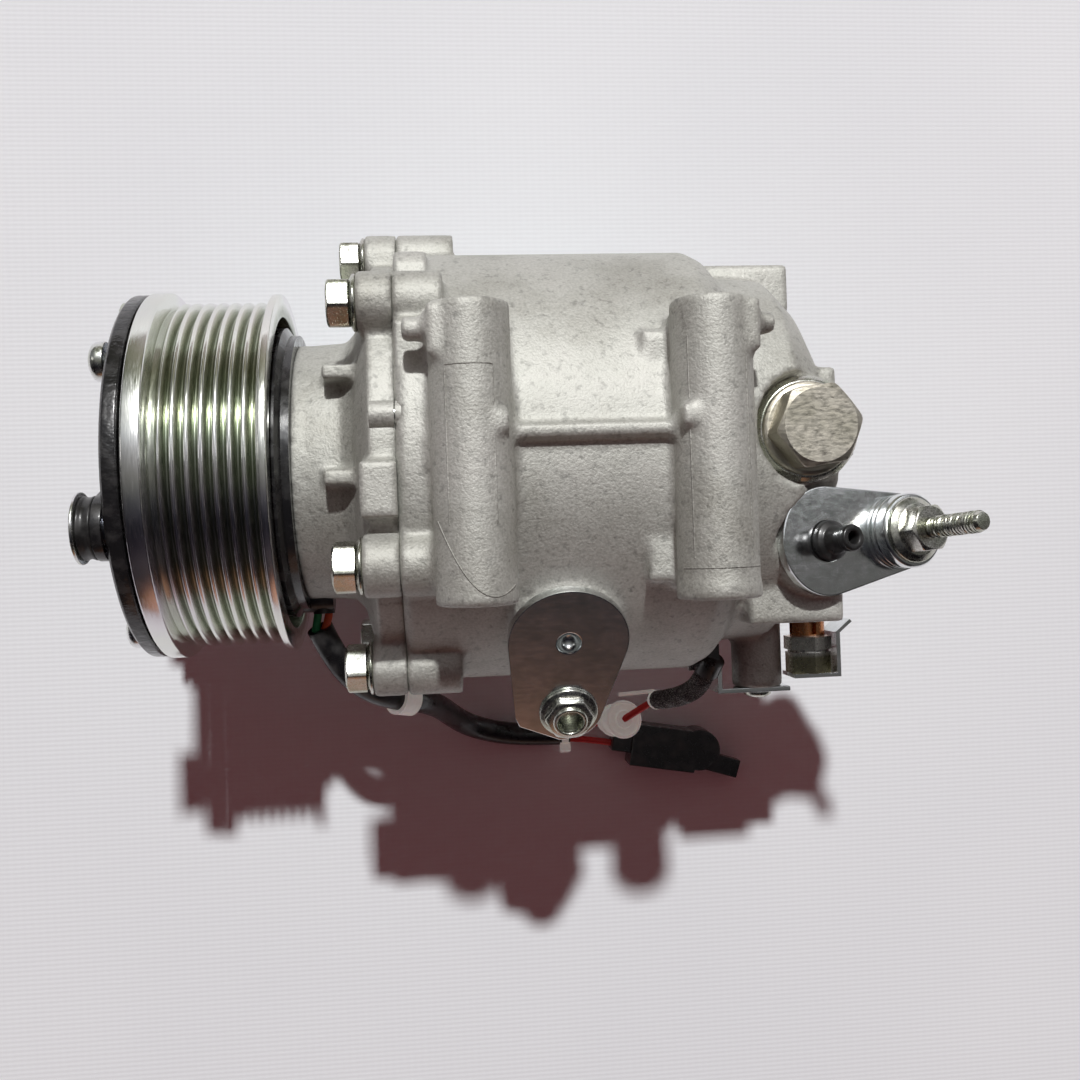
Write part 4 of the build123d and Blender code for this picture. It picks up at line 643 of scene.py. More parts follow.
class Workshop:
    """Makes and finishes pieces; it holds the Geometry Nodes trees and the finished pieces' list."""

    def __init__(self, nodes: dict[str, bpy.types.Object]) -> None:
        """Builds the trees once.

        Args:
            nodes: The frame's CAD objects by name.
        """
        self.nodes = nodes
        self.turning = turning_tree()
        self.thread = thread_tree()
        self.pattern = pattern_tree()
        self.made = []

    def piece(self, name: str, mesh: bpy.types.Mesh, finish: Finish, body: Body,
              replaces: Sequence[str] = (), angle: float = 32.0) -> bpy.types.Object:
        """Turns a mesh into a finished piece that rides on a body.

        Args:
            name: The piece's name.
            mesh: Its mesh, in the row frame.
            finish: Its finish.
            body: The body it rides on.
            replaces: CAD nodes that it stands for.
            angle: Edges sharper than this stay sharp, in degrees.

        Returns:
            The piece.
        """
        smooth(mesh, angle)
        mesh.materials.clear()
        mesh.materials.append(finish.material())
        made = bpy.data.objects.new(name, mesh)
        bpy.context.scene.collection.objects.link(made)
        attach(made, body.value)
        if replaces:
            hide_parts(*replaces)
        self.made.append(made)
        LOG.info("%s: %d faces, %s", name, len(mesh.polygons), finish.name)
        return made

    def turned(self, corners: Sequence[tuple[float, float]], place: Matrix, rounding: float = 0.3,
               facets: int = 64) -> bpy.types.Mesh:
        """Turns a profile about its axis.

        Args:
            corners: Axial place and radius of each corner, in millimetres.
            place: Placement whose local Z is the axis.
            rounding: Corner rounding, in millimetres.
            facets: Facets round the axis.

        Returns:
            The mesh, placed.
        """
        profile = soft_profile(corners, rounding)
        area = sum(a0 * r1 - a1 * r0 for (a0, r0), (a1, r1) in zip(profile, profile[1:] + profile[:1]))
        if area > 0:
            profile.reverse()
        ring = max(r for _, r in profile) * MM
        mesh = bpy.data.meshes.new("profile")
        count = len(profile)
        mesh.from_pydata([(r * MM - ring, a * MM, 0.0) for a, r in profile],
                         [(i, (i + 1) % count) for i in range(count)], [])
        made = self.turning.run(mesh, Ring=ring, Facets=facets)
        made.transform(place @ Matrix.Rotation(math.pi, 4, "X"))
        return made

    def copied(self, node: str, bevel: float, angle: float = 30.0) -> bpy.types.Mesh:
        """Copies a CAD node with its doubles merged and its edges slightly broken.

        Args:
            node: The CAD node.
            bevel: Width of the broken edges, in millimetres.
            angle: Edges flatter than this are left, in degrees.

        Returns:
            The new mesh.
        """
        mesh = self.modified(self.merged(node, flat=True),
                             [("BEVEL", {"width": bevel * MM, "segments": 2, "limit_method": "ANGLE",
                                         "angle_limit": math.radians(angle)})])
        smooth(mesh)
        return self.modified(mesh, [("WEIGHTED_NORMAL", {"keep_sharp": True, "weight": 100})])

    def merged(self, node: str, flat: bool) -> bpy.types.Mesh:
        """Copies a CAD node with its doubles merged.

        Args:
            node: The CAD node.
            flat: Whether triangles in one plane are joined into one face.

        Returns:
            The new mesh.
        """
        work = bmesh.new()
        work.from_mesh(self.nodes[node].data)
        bmesh.ops.remove_doubles(work, verts=work.verts, dist=2e-6)
        if flat:
            bmesh.ops.dissolve_limit(work, angle_limit=math.radians(0.6), verts=work.verts, edges=work.edges)
        mesh = bpy.data.meshes.new(node + "_copy")
        work.to_mesh(mesh)
        work.free()
        return mesh

    def casting(self, node: str, grain: float, share: float) -> bpy.types.Mesh:
        """Copies a CAD node with the soft edges and fillets of a die casting.

        Args:
            node: The CAD node.
            grain: Size of the remesh, in millimetres.
            share: Share of the triangles that is kept.

        Returns:
            The new mesh.
        """
        return self.modified(self.merged(node, flat=False),
                             [("REMESH", {"mode": "VOXEL", "voxel_size": grain * MM}),
                              ("SMOOTH", {"factor": 0.5, "iterations": 2}),
                              ("DECIMATE", {"ratio": share})])

    def repeated(self, part: bpy.types.Mesh, places: Sequence[Sequence[float]], finish: Finish
                 ) -> bpy.types.Mesh:
        """Sets a copy of a part on every place.

        Args:
            part: The part, round the frame's origin.
            places: The places, in millimetres.
            finish: The part's finish.

        Returns:
            The mesh with all copies.
        """
        smooth(part)
        holder = bpy.data.objects.new("part", part)
        bpy.context.scene.collection.objects.link(holder)
        points = bpy.data.meshes.new("places")
        points.from_pydata([tuple(c * MM for c in place) for place in places], [], [])
        made = self.pattern.run(points, Part=holder, Finish=finish.material())
        bpy.data.objects.remove(holder)
        return made

    def modified(self, mesh: bpy.types.Mesh, steps: Iterable[tuple[str, dict]]) -> bpy.types.Mesh:
        """Applies a chain of modifiers to a mesh and returns the result."""
        holder = bpy.data.objects.new("holder", mesh)
        bpy.context.scene.collection.objects.link(holder)
        for kind, settings in steps:
            modifier = holder.modifiers.new(kind.lower(), kind)
            for key, value in settings.items():
                setattr(modifier, key, value)
        graph = bpy.context.evaluated_depsgraph_get()
        made = bpy.data.meshes.new_from_object(holder.evaluated_get(graph))
        bpy.data.objects.remove(holder)
        return made


def hexagon_mesh(flats: float, height: float, place: Matrix, bore: float = 0.0) -> bpy.types.Mesh:
    """Hexagon with slightly rounded corners and the turned chamfer of its free end.

    Args:
        flats: Distance across its flats, in millimetres.
        height: Its height, in millimetres.
        place: Placement whose local Z runs to the free end.
        bore: Radius of a hole along its axis, in millimetres, or 0 for none.

    Returns:
        The mesh, placed.
    """
    count = 72
    corner = flats / math.sqrt(3)
    crown = 0.47 * flats
    slope = math.tan(math.radians(30))

    def reach(index: int) -> float:
        """Radius of the outline at one of its points."""
        turn = math.radians((360.0 * index / count) % 60.0 - 30.0)
        return min(flats / 2 / math.cos(turn), 0.975 * corner)

    def top(radius: float) -> float:
        """Height of the turned chamfer at a radius."""
        return height - max(0.0, radius - crown) * slope

    outline = [reach(i) for i in range(count)]
    rings = [[(r, 0.0) for r in outline], [(r, top(r) - 0.18) for r in outline],
             [(r - 0.16, top(r - 0.16)) for r in outline], [(min(crown, r - 0.2), height) for r in outline]]
    rings += [[(bore + 0.3, height)] * count, [(bore, height - 0.3)] * count, [(bore, 0.0)] * count] if bore \
        else [[(crown * 0.5, height - 0.05)] * count]
    points = []
    for ring in rings:
        for index, (radius, level) in enumerate(ring):
            turn = 2 * math.pi * index / count
            points.append((radius * math.cos(turn) * MM, radius * math.sin(turn) * MM, level * MM))
    faces = []
    rows = list(range(len(rings)))
    pairs = list(zip(rows, rows[1:])) + ([(rows[-1], 0)] if bore else [])
    for low, high in pairs:
        for index in range(count):
            after = (index + 1) % count
            faces.append((low * count + index, low * count + after,
                          high * count + after, high * count + index))
    if not bore:
        faces.append(tuple(reversed(range(count))))
        faces.append(tuple(range(rows[-1] * count, len(rings) * count)))
    mesh = bpy.data.meshes.new("hexagon")
    mesh.from_pydata(points, [], faces)
    mesh.transform(place)
    return mesh


def block_mesh(low: Sequence[float], high: Sequence[float], place: Matrix | None = None) -> bpy.types.Mesh:
    """Box between two corners, in millimetres, placed if a placement is given."""
    (x0, y0, z0), (x1, y1, z1) = ([c * MM for c in corner] for corner in (low, high))
    points = [(x, y, z) for z in (z0, z1) for y in (y0, y1) for x in (x0, x1)]
    mesh = bpy.data.meshes.new("block")
    mesh.from_pydata(points, [], [(0, 2, 3, 1), (4, 5, 7, 6), (0, 1, 5, 4),
                                  (2, 6, 7, 3), (0, 4, 6, 2), (1, 3, 7, 5)])
    if place is not None:
        mesh.transform(place)
    return mesh


def arc_block(radii: tuple[float, float], arc: tuple[float, float], span: tuple[float, float]
              ) -> bpy.types.Mesh:
    """Curved block round X, as a cutter for the slots of the pulley web.

    Args:
        radii: Inner and outer radius, in millimetres.
        arc: Start and end angle, in degrees from +Z towards +Y.
        span: Start and end along X, in millimetres.

    Returns:
        The mesh.
    """
    steps = 20
    points = []
    for index in range(steps + 1):
        turn = math.radians(arc[0] + (arc[1] - arc[0]) * index / steps)
        for radius in radii:
            for x in span:
                points.append((x * MM, radius * math.sin(turn) * MM, radius * math.cos(turn) * MM))
    faces = [(0, 1, 3, 2), tuple(4 * steps + i for i in (0, 2, 3, 1))]
    for index in range(steps):
        a, b = 4 * index, 4 * index + 4
        faces += [(a, b, b + 1, a + 1), (a + 2, a + 3, b + 3, b + 2), (a, a + 2, b + 2, b),
                  (a + 1, b + 1, b + 3, a + 3)]
    mesh = bpy.data.meshes.new("slot")
    mesh.from_pydata(points, [], faces)
    work = bmesh.new()
    work.from_mesh(mesh)
    bmesh.ops.recalc_face_normals(work, faces=work.faces)
    work.to_mesh(mesh)
    work.free()
    return mesh


def turned_place(centre: Sequence[float], *turns: tuple[float, str]) -> Matrix:
    """Placement at a point in millimetres, turned by degrees about its own axes in order."""
    made = Matrix.Translation(Vector(centre) * MM)
    for degrees, axis in turns:
        made = made @ Matrix.Rotation(math.radians(degrees), 4, axis)
    return made


def shifted(place: Matrix, x: float = 0.0, y: float = 0.0, z: float = 0.0) -> Matrix:
    """Placement moved along its own axes, in millimetres."""
    return place @ Matrix.Translation(Vector((x, y, z)) * MM)


def polar(radius: float, angle: float, x: float = 0.0) -> Point:
    """Point at a radius and an angle turned from +Z towards +Y."""
    return (x, radius * math.sin(math.radians(angle)), radius * math.cos(math.radians(angle)))


def joined(*meshes: bpy.types.Mesh) -> bpy.types.Mesh:
    """Joins several meshes into one."""
    work = bmesh.new()
    for mesh in meshes:
        work.from_mesh(mesh)
    made = bpy.data.meshes.new("joined")
    work.to_mesh(made)
    work.free()
    return made


def tube_mesh(path: Sequence[Vector], radius: float, sides: int = 16) -> bpy.types.Mesh:
    """Closed tube round a path.

    Args:
        path: Points of the centre line.
        radius: Tube radius, in metres.
        sides: Facets round it.

    Returns:
        The mesh.
    """
    rings = []
    for place, across, up in frames_along(path):
        ring = [place + (across * math.cos(a) + up * math.sin(a)) * radius
                for a in (2 * math.pi * i / sides for i in range(sides))]
        rings.append(ring)
    points = [p for ring in rings for p in ring]
    faces = []
    for row in range(len(rings) - 1):
        for i in range(sides):
            j = (i + 1) % sides
            faces.append((row * sides + i, row * sides + j, (row + 1) * sides + j, (row + 1) * sides + i))
    faces.append(tuple(reversed(range(sides))))
    faces.append(tuple(range((len(rings) - 1) * sides, len(rings) * sides)))
    mesh = bpy.data.meshes.new("tube")
    mesh.from_pydata(points, [], faces)
    return mesh


def frames_along(path: Sequence[Vector]) -> list[tuple[Vector, Vector, Vector]]:
    """Places along a path, each with two directions across it that turn as little as they can."""
    frames = []
    across = None
    for index, place in enumerate(path):
        ahead = path[min(index + 1, len(path) - 1)] - path[max(index - 1, 0)]
        ahead.normalize()
        if across is None:
            across = ahead.orthogonal().normalized()
        across = (across - ahead * across.dot(ahead)).normalized()
        frames.append((place, across, ahead.cross(across)))
    return frames


# ---------------------------------------------------------------- camera, floor and light
@dataclass
class Studio:
    """Camera, floor and lights: seen from straight above, lit from the far side."""

    eye: Point = (0.0574, -0.0223, 0.333)
    roll: float = 2.04
    tilt: float = 5.22
    lens: float = 36.667
    key_lean: float = 38.0
    fill: Colour = (0.115, 0.042, 0.044)
    key_power: float = 232.0
    backdrop: Colour = (0.72, 0.73, 0.76)

    def camera(self) -> None:
        """Sets the camera above the compressor."""
        data = bpy.data.cameras.new("camera")
        data.sensor_width = 36.0
        data.lens = self.lens
        data.clip_start = 0.01
        data.clip_end = 20.0
        made = bpy.data.objects.new("camera", data)
        turn = (Matrix.Rotation(math.radians(self.roll), 4, "Z")
                @ Matrix.Rotation(math.radians(self.tilt), 4, "Y"))
        made.matrix_world = Matrix.Translation(Vector(self.eye)) @ turn.transposed()
        bpy.context.scene.collection.objects.link(made)
        bpy.context.scene.camera = made

    def floor(self) -> None:
        """Lays the ribbed floor under the mounting tubes."""
        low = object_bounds()[0].z - 0.0002
        half = 3.0
        mesh = bpy.data.meshes.new("floor")
        mesh.from_pydata([(-half, -half, low), (half, -half, low), (half, half, low), (-half, half, low)],
                         [], [(0, 1, 2, 3)])
        mesh.materials.append(FloorFinish("ribbed_floor", "").material())
        made = bpy.data.objects.new("floor", mesh)
        bpy.context.scene.collection.objects.link(made)
        made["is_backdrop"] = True

    def area(self, name: str, place: Point, aim: Point, size: tuple[float, float], power: float,
             colour: Colour, mirrored: bool = False) -> None:
        """Adds an area light that looks at a point.

        Args:
            name: The light's name.
            place: Where it hangs, in metres.
            aim: The point it looks at.
            size: Its two sides, in metres.
            power: Its power in watts.
            colour: Its colour.
            mirrored: Whether it only shows in reflections.
        """
        data = bpy.data.lights.new(name, "AREA")
        data.shape = "RECTANGLE"
        data.size, data.size_y = size
        data.energy = power
        data.color = colour
        made = bpy.data.objects.new(name, data)
        made.matrix_world = along(place, Vector(place) - Vector(aim))
        made.visible_diffuse = not mirrored
        bpy.context.scene.collection.objects.link(made)

    def lights(self) -> None:
        """Hangs the small key light and the panels that only metal mirrors."""
        lean = math.radians(self.key_lean)
        reach = 5.0
        self.area("key", (0.10, reach * math.sin(lean), reach * math.cos(lean)), (0.07, 0.0, 0.0),
                  (0.22, 0.19), self.key_power, (1.0, 0.99, 0.98))
        self.area("window", (0.05, 0.80, 1.30), (0.05, 0.0, 0.0), (0.55, 0.42), 2.0,
                  (0.95, 0.97, 1.0), True)
        self.area("right_panel", (1.0, 0.25, 0.75), (0.1, 0.0, 0.0), (0.16, 0.5), 0.45,
                  (0.96, 0.98, 1.0), True)
        self.area("left_panel", (-0.9, 0.25, 0.7), (0.0, 0.0, 0.0), (0.2, 0.5), 0.35,
                  (1.0, 0.98, 0.95), True)

    def surroundings(self) -> None:
        """Paints the room as metal mirrors it, and a dim warm fill for everything else."""
        world = bpy.data.worlds.new("room")
        world.use_nodes = True
        bpy.context.scene.world = world
        tree = world.node_tree
        background = tree.nodes["Background"]
        coordinates = tree.nodes.new("ShaderNodeTexCoord")
        parts = tree.nodes.new("ShaderNodeSeparateXYZ")
        tree.links.new(coordinates.outputs["Generated"], parts.inputs[0])

        def ramp(source: bpy.types.NodeSocket, stops: Sequence[tuple[float, Colour]]
                 ) -> bpy.types.NodeSocket:
            """Colour by height or side, from -1 to 1."""
            scaled = tree.nodes.new("ShaderNodeMath")
            scaled.operation = "MULTIPLY_ADD"
            scaled.inputs[1].default_value = 0.5
            scaled.inputs[2].default_value = 0.5
            tree.links.new(source, scaled.inputs[0])
            made = tree.nodes.new("ShaderNodeValToRGB")
            tree.links.new(scaled.outputs[0], made.inputs[0])
            elements = made.color_ramp.elements
            while len(elements) < len(stops):
                elements.new(0.5)
            for element, (position, colour) in zip(elements, stops):
                element.position = position
                element.color = (*colour, 1.0)
            return made.outputs[0]

        def mixed(factor: bpy.types.NodeSocket, first: object, second: object) -> bpy.types.NodeSocket:
            """Mixes two colours."""
            made = tree.nodes.new("ShaderNodeMixRGB")
            tree.links.new(factor, made.inputs["Fac"])
            for socket, value in ((made.inputs["Color1"], first), (made.inputs["Color2"], second)):
                if isinstance(value, bpy.types.NodeSocket):
                    tree.links.new(value, socket)
                else:
                    socket.default_value = (*value, 1.0)
            return made.outputs[0]

        across = ramp(parts.outputs["Y"], [
            (0.0, (0.60, 0.36, 0.26)), (0.018, (0.44, 0.22, 0.13)), (0.034, (0.10, 0.060, 0.050)),
            (0.060, (0.040, 0.038, 0.040)), (0.10, (0.060, 0.052, 0.056)), (0.16, (0.022, 0.020, 0.026)),
            (0.24, (0.012, 0.013, 0.018)), (0.36, (0.07, 0.07, 0.08)), (0.48, (0.22, 0.215, 0.205)),
            (0.60, (0.36, 0.36, 0.36)), (0.68, (0.80, 0.82, 0.85)), (0.84, (0.78, 0.79, 0.79)),
            (0.90, (0.17, 0.19, 0.13)), (0.97, (0.24, 0.23, 0.16)), (1.0, (0.46, 0.41, 0.41))])
        sideways = ramp(parts.outputs["X"], [(0.0, (0.35, 0.35, 0.36)), (0.17, (0.22, 0.22, 0.22)),
                                             (0.34, (0.75, 0.75, 0.75)), (0.5, (1.0, 1.0, 1.0)),
                                             (0.66, (0.70, 0.70, 0.70)), (0.80, (0.25, 0.26, 0.25)),
                                             (1.0, (0.55, 0.54, 0.54))])
        product = tree.nodes.new("ShaderNodeMixRGB")
        product.blend_type = "MULTIPLY"
        product.inputs["Fac"].default_value = 1.0
        tree.links.new(across, product.inputs["Color1"])
        tree.links.new(sideways, product.inputs["Color2"])
        room = product.outputs[0]
        path = tree.nodes.new("ShaderNodeLightPath")
        lit = mixed(path.outputs["Is Glossy Ray"], self.fill, room)
        tree.links.new(mixed(path.outputs["Is Camera Ray"], lit, self.backdrop), background.inputs["Color"])
        background.inputs["Strength"].default_value = 0.9
        view = bpy.context.scene.view_settings
        view.view_transform = "Standard"
        view.look = "None"
        view.exposure = 0.0

    def build(self) -> None:
        """Sets the camera, floor, lights and room."""
        self.camera()
        self.floor()
        self.lights()
        self.surroundings()


# ---------------------------------------------------------------- leads
@dataclass
class Leads:
    """Coil lead, switch lead, their wires and connectors."""

    shop: Workshop
    coil_route: tuple[Point, ...] = (
        (20.5, -46.5, -4.0), (24.0, -55.5, -7.5), (30.5, -64.5, -11.5), (39.5, -70.0, -17.5),
        (49.0, -72.8, -26.5), (55.0, -76.6, -38.5), (59.0, -81.6, -50.0), (65.0, -87.0, -59.0),
        (75.0, -91.2, -65.0), (88.5, -93.2, -66.6), (102.0, -93.2, -66.6))
    switch_route: tuple[Point, ...] = (
        (135.4, -63.2, 9.8), (134.0, -67.6, 6.8), (132.2, -70.6, 0.8), (130.6, -73.0, -7.4),
        (129.5, -74.9, -17.0), (128.9, -76.7, -27.0), (128.6, -77.9, -36.0))
    coil_radius: float = 4.0
    coil_length: float = 0.1256
    switch_radius: float = 3.0
    switch_length: float = 0.0501
    wire_radius: float = 1.2
    bullet_front: Point = (118.6, -84.9, -41.0)
    bullet_direction: Point = (-0.24, -0.17, -0.95)
    bullet_radius: float = 6.5
    bullet_length: float = 16.0
    braid_yarns: int = 14
    braid_turns: float = 4.0

    def cord_curve(self, name: str, route: Sequence[Point], radius: float) -> bpy.types.Object:
        """Smooth curve whose control points are the route's points.

        Args:
            name: The curve's name.
            route: Control points, in millimetres.
            radius: Radius in millimetres, or 0 for the bare line.

        Returns:
            The curve object.
        """
        data = bpy.data.curves.new(name, "CURVE")
        data.dimensions = "3D"
        data.resolution_u = 14
        data.bevel_resolution = 6
        data.bevel_depth = radius * MM
        data.use_fill_caps = True
        spline = data.splines.new("NURBS")
        spline.points.add(len(route) - 1)
        for point, place in zip(spline.points, route):
            point.co = (*[c * MM for c in place], 1.0)
        spline.order_u = 3
        spline.use_endpoint_u = True
        made = bpy.data.objects.new(name, data)
        bpy.context.scene.collection.objects.link(made)
        return made

    def line(self, route: Sequence[Point]) -> list[Vector]:
        """Points along the smooth curve of a route, in metres."""
        curve = self.cord_curve("line", route, 0.0)
        graph = bpy.context.evaluated_depsgraph_get()
        mesh = bpy.data.meshes.new_from_object(curve.evaluated_get(graph))
        points = [v.co.copy() for v in mesh.vertices]
        bpy.data.objects.remove(curve)
        return points

    def dress(self, made: bpy.types.Object, finish: Finish, replaces: Sequence[str] = ()) -> None:
        """Paints a curve and makes it ride on the fixed body."""
        made.data.materials.append(finish.material())
        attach(made, Body.ROOT.value)
        if replaces:
            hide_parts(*replaces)

    def braid(self, path: Sequence[Vector]) -> bpy.types.Mesh:
        """Flat yarns that wind both ways round the switch lead, over and under each other."""
        strands = []
        frames = frames_along(path)
        last = len(frames) - 1
        for hand in Sweep:
            for index in range(self.braid_yarns):
                line = []
                for step in range(8 * last + 1):
                    t = step / (8 * last)
                    low = min(int(t * last), last - 1)
                    share = t * last - low
                    place, across, up = (a.lerp(b, share) for a, b in zip(frames[low], frames[low + 1]))
                    angle = 2 * math.pi * (index / self.braid_yarns + hand.value * self.braid_turns * t)
                    wave = math.sin(2 * self.braid_yarns * math.pi * self.braid_turns * t + hand.value * 1.6
                                    + index * math.pi)
                    reach = (self.switch_radius - 0.12 + 0.10 * wave) * MM
                    line.append(place + (across * math.cos(angle) + up * math.sin(angle)) * reach)
                strands.append(tube_mesh(line, 0.22 * MM, 4))
        return joined(*strands)

    def bullet(self) -> bpy.types.Object:
        """Turns the ringed nylon bullet connector."""
        wide = self.bullet_radius
        corners = [(0.0, wide - 0.4), (0.5, wide), (1.8, wide), (2.2, wide - 0.5), (2.2, wide - 1.6),
                   (8.6, wide - 1.6), (8.8, wide - 0.8), (10.2, wide - 0.8), (10.6, wide - 2.2),
                   (self.bullet_length - 0.6, wide - 2.2), (self.bullet_length, wide - 2.8),
                   (self.bullet_length, 0.0), (0.3, 0.0), (0.3, 2.4), (0.0, 2.9), (0.9, 3.2),
                   (0.9, wide - 1.1), (0.0, wide - 0.9)]
        place = along(Vector(self.bullet_front) * MM, self.bullet_direction)
        return self.shop.piece("bullet", self.shop.turned(corners, place, 0.2, 64), GLOWING_NYLON, Body.ROOT,
                               ["bullet_connector"])

    def connector(self) -> bpy.types.Object:
        """Softens the lead's moulded connector."""
        mesh = self.shop.copied("lead_connector", 0.9)
        return self.shop.piece("plug_housing", mesh, MOULDED, Body.ROOT, ["lead_connector"])

    def ties(self, lead_end: Vector, braid_end: Vector, slope: Vector) -> None:
        """Adds the cable tie round the braid's end, the one on the coil lead, and the lead's clip.

        Args:
            lead_end: End of the coil lead, in millimetres.
            braid_end: End of the switch lead, in millimetres.
            slope: Direction of the switch lead at its end.
        """
        tied = braid_end - slope * 3.0
        band = self.shop.turned([(-1.2, 2.9), (-1.2, 3.3), (1.2, 3.3), (1.2, 2.9)],
                                along(tied * MM, slope), 0.1, 32)
        tail = block_mesh((-13.0, 2.4, -0.4), (-1.0, 3.6, 0.4), turned_place(tied, (3, "Z")))
        self.shop.piece("braid_tie", joined(band, tail), GLOWING_NYLON, Body.ROOT)
        held = lead_end - Vector((1.8, 0, 0))
        ring = self.shop.turned([(-1.2, 3.9), (-1.2, 4.5), (1.2, 4.5), (1.2, 3.9)],
                                along(held * MM, (1, 0, 0)), 0.1, 32)
        head = block_mesh((-1.8, -6.6, -1.6), (1.8, -3.8, 1.8), turned_place(held, (-25, "X")))
        self.shop.piece("coil_lead_tie", joined(ring, head), GLOWING_NYLON, Body.ROOT)
        self.shop.piece("lead_clip_band", self.shop.copied("lead_clip", 0.2), GLOWING_NYLON, Body.ROOT, ["lead_clip"])

    def wire(self, name: str, points: Sequence[Point], finish: Finish) -> bpy.types.Object:
        """Short insulated wire through a few points, in millimetres."""
        mesh = tube_mesh(self.line(points), self.wire_radius * MM, 12)
        return self.shop.piece(name, mesh, finish, Body.ROOT)

    def build(self) -> None:
        """Makes both leads first, then the wires and connectors that go with them."""
        coil = self.cord_curve("coil_lead_sleeve", self.coil_route, self.coil_radius)
        self.dress(coil, SLEEVE, ["coil_lead"])
        path = self.line(self.switch_route)
        core = self.shop.piece("switch_lead_core", tube_mesh(path, (self.switch_radius - 0.25) * MM), SLEEVE,
                               Body.ROOT, ["thermal_lead"])
        yarns = self.shop.piece("switch_lead_braid", self.braid(path), BRAID, Body.ROOT, angle=60.0)

        x, y, z = self.coil_route[0]
        exit_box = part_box("coil_winding")
        exit_y = -0.042 / MM
        front = exit_box[1].x / MM - 3.2
        green = self.wire("coil_wire_green",
                          [(front - 1.6, exit_y + 1.0, z + 1.8), (front - 1.9, exit_y - 1.5, z + 2.0),
                           (x - 1.2, y - 1.0, z + 0.8)], GREEN_WIRE)
        orange = self.wire("coil_wire_orange",
                           [(front + 1.4, exit_y + 1.0, z + 1.4), (front + 1.6, exit_y - 1.5, z + 1.6),
                            (x + 1.3, y - 1.0, z + 0.5)], ORANGE_WIRE)
        end = Vector(self.switch_route[-1])
        slope = (end - Vector(self.switch_route[-2])).normalized()
        bullet_front = Vector(self.bullet_front)
        bullet_slope = Vector(self.bullet_direction).normalized()
        stub = self.wire("bullet_wire", [tuple(end - slope * 1.5), tuple(end + slope * 1.0),
                                         tuple(bullet_front + bullet_slope * 1.0)], RED_WIRE)
        bullet = self.bullet()
        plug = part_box("lead_connector")
        socket = (plug[0].x / MM + 3.0, (plug[0].y + plug[1].y) / 2 / MM + 3.6, self.coil_route[-1][2] + 1.0)
        lead_end = Vector(self.coil_route[-1])
        tail = self.wire("connector_wire", [tuple(lead_end + Vector((-2.0, -1.8, 0.0))),
                                            tuple(lead_end + Vector((4.0, -1.9, 0.6))), socket], RED_WIRE)
        bullet_end = bullet_front + bullet_slope * (self.bullet_length - 0.5)
        rise = self.wire("bullet_tail_wire",
                         [tuple(lead_end + Vector((-2.0, 1.8, 0.0))),
                          tuple(lead_end + Vector((5.0, 2.6, 1.5))), tuple(bullet_end)], RED_WIRE)
        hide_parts("lead_wires")
        self.ties(lead_end, end, slope)
        self.connector()


# ---------------------------------------------------------------- clutch
FORWARD = turned_place((0, 0, 0), (-90, "Y"))


@dataclass
class BeltPulley:
    """Ribbed belt pulley with its slotted web."""

    shop: Workshop
    grooves: int = 7
    pitch: float = 3.56
    depth: float = 2.9
    crest: float = 50.0
    band: float = 53.0
    band_width: float = 5.2
    recess: float = 1.8
    flange: float = 52.2
    rim_inner: float = 44.9
    web: float = 7.5
    hub: float = 31.0
    bore: float = 26.0
    slots: int = 6
    slot_radius: float = 38.0
    slot_width: float = 3.0

    def outline(self) -> list[tuple[float, float]]:
        """Corners of the turned profile, from the front face round to the bore."""
        low, high = (c.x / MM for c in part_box("pulley_rotor"))
        half = self.grooves * self.pitch / 2
        band_end = low + self.band_width
        deep = self.crest - self.recess
        made = [(low, self.band - 0.7), (low + 0.5, self.band), (band_end - 0.3, self.band),
                (band_end, self.band - 0.4), (band_end + 0.6, deep), (-half - 0.8, deep),
                (-half, self.crest - 0.2)]
        for index in range(self.grooves):
            centre = (index - (self.grooves - 1) / 2) * self.pitch
            made += [(centre - 1.30, self.crest), (centre - 0.34, self.crest - self.depth),
                     (centre + 0.34, self.crest - self.depth), (centre + 1.30, self.crest)]
        web_rear = low + self.web
        made += [(half, self.crest), (half + 0.25, self.flange), (high, self.flange),
                 (high, self.rim_inner + 0.8), (web_rear + 1.5, self.rim_inner),
                 (web_rear, self.rim_inner - 1.5), (web_rear, self.hub + 1.0), (web_rear + 1.0, self.hub),
                 (12.0, self.hub), (12.0, self.bore), (-14.0, self.bore), (-14.0, self.bore - 2),
                 (low, self.bore - 2)]
        return made

    def build(self) -> None:
        """Turns the pulley with rounded crests and grooves and cuts the slots of its web."""
        whole = self.shop.turned(self.outline(), along((0, 0, 0), (1, 0, 0)), 0.36, 192)
        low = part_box("pulley_rotor")[0].x / MM
        arc = 360 / self.slots - 16
        radii = (self.slot_radius - self.slot_width / 2, self.slot_radius + self.slot_width / 2)
        middles = [12 + 360 / self.slots * i for i in range(self.slots)]
        cutters = [arc_block(radii, (middle - arc / 2, middle + arc / 2), (low - 1, low + self.web + 1))
                   for middle in middles]
        cutter = bpy.data.objects.new("slots", joined(*cutters))
        bpy.context.scene.collection.objects.link(cutter)
        mesh = self.shop.modified(whole, [("BOOLEAN", {"object": cutter, "operation": "DIFFERENCE",
                                                       "solver": "EXACT"})])
        bpy.data.objects.remove(cutter)
        self.shop.piece("belt_pulley", mesh, ZINC, Body.PULLEY, ["pulley_rotor"], angle=50.0)


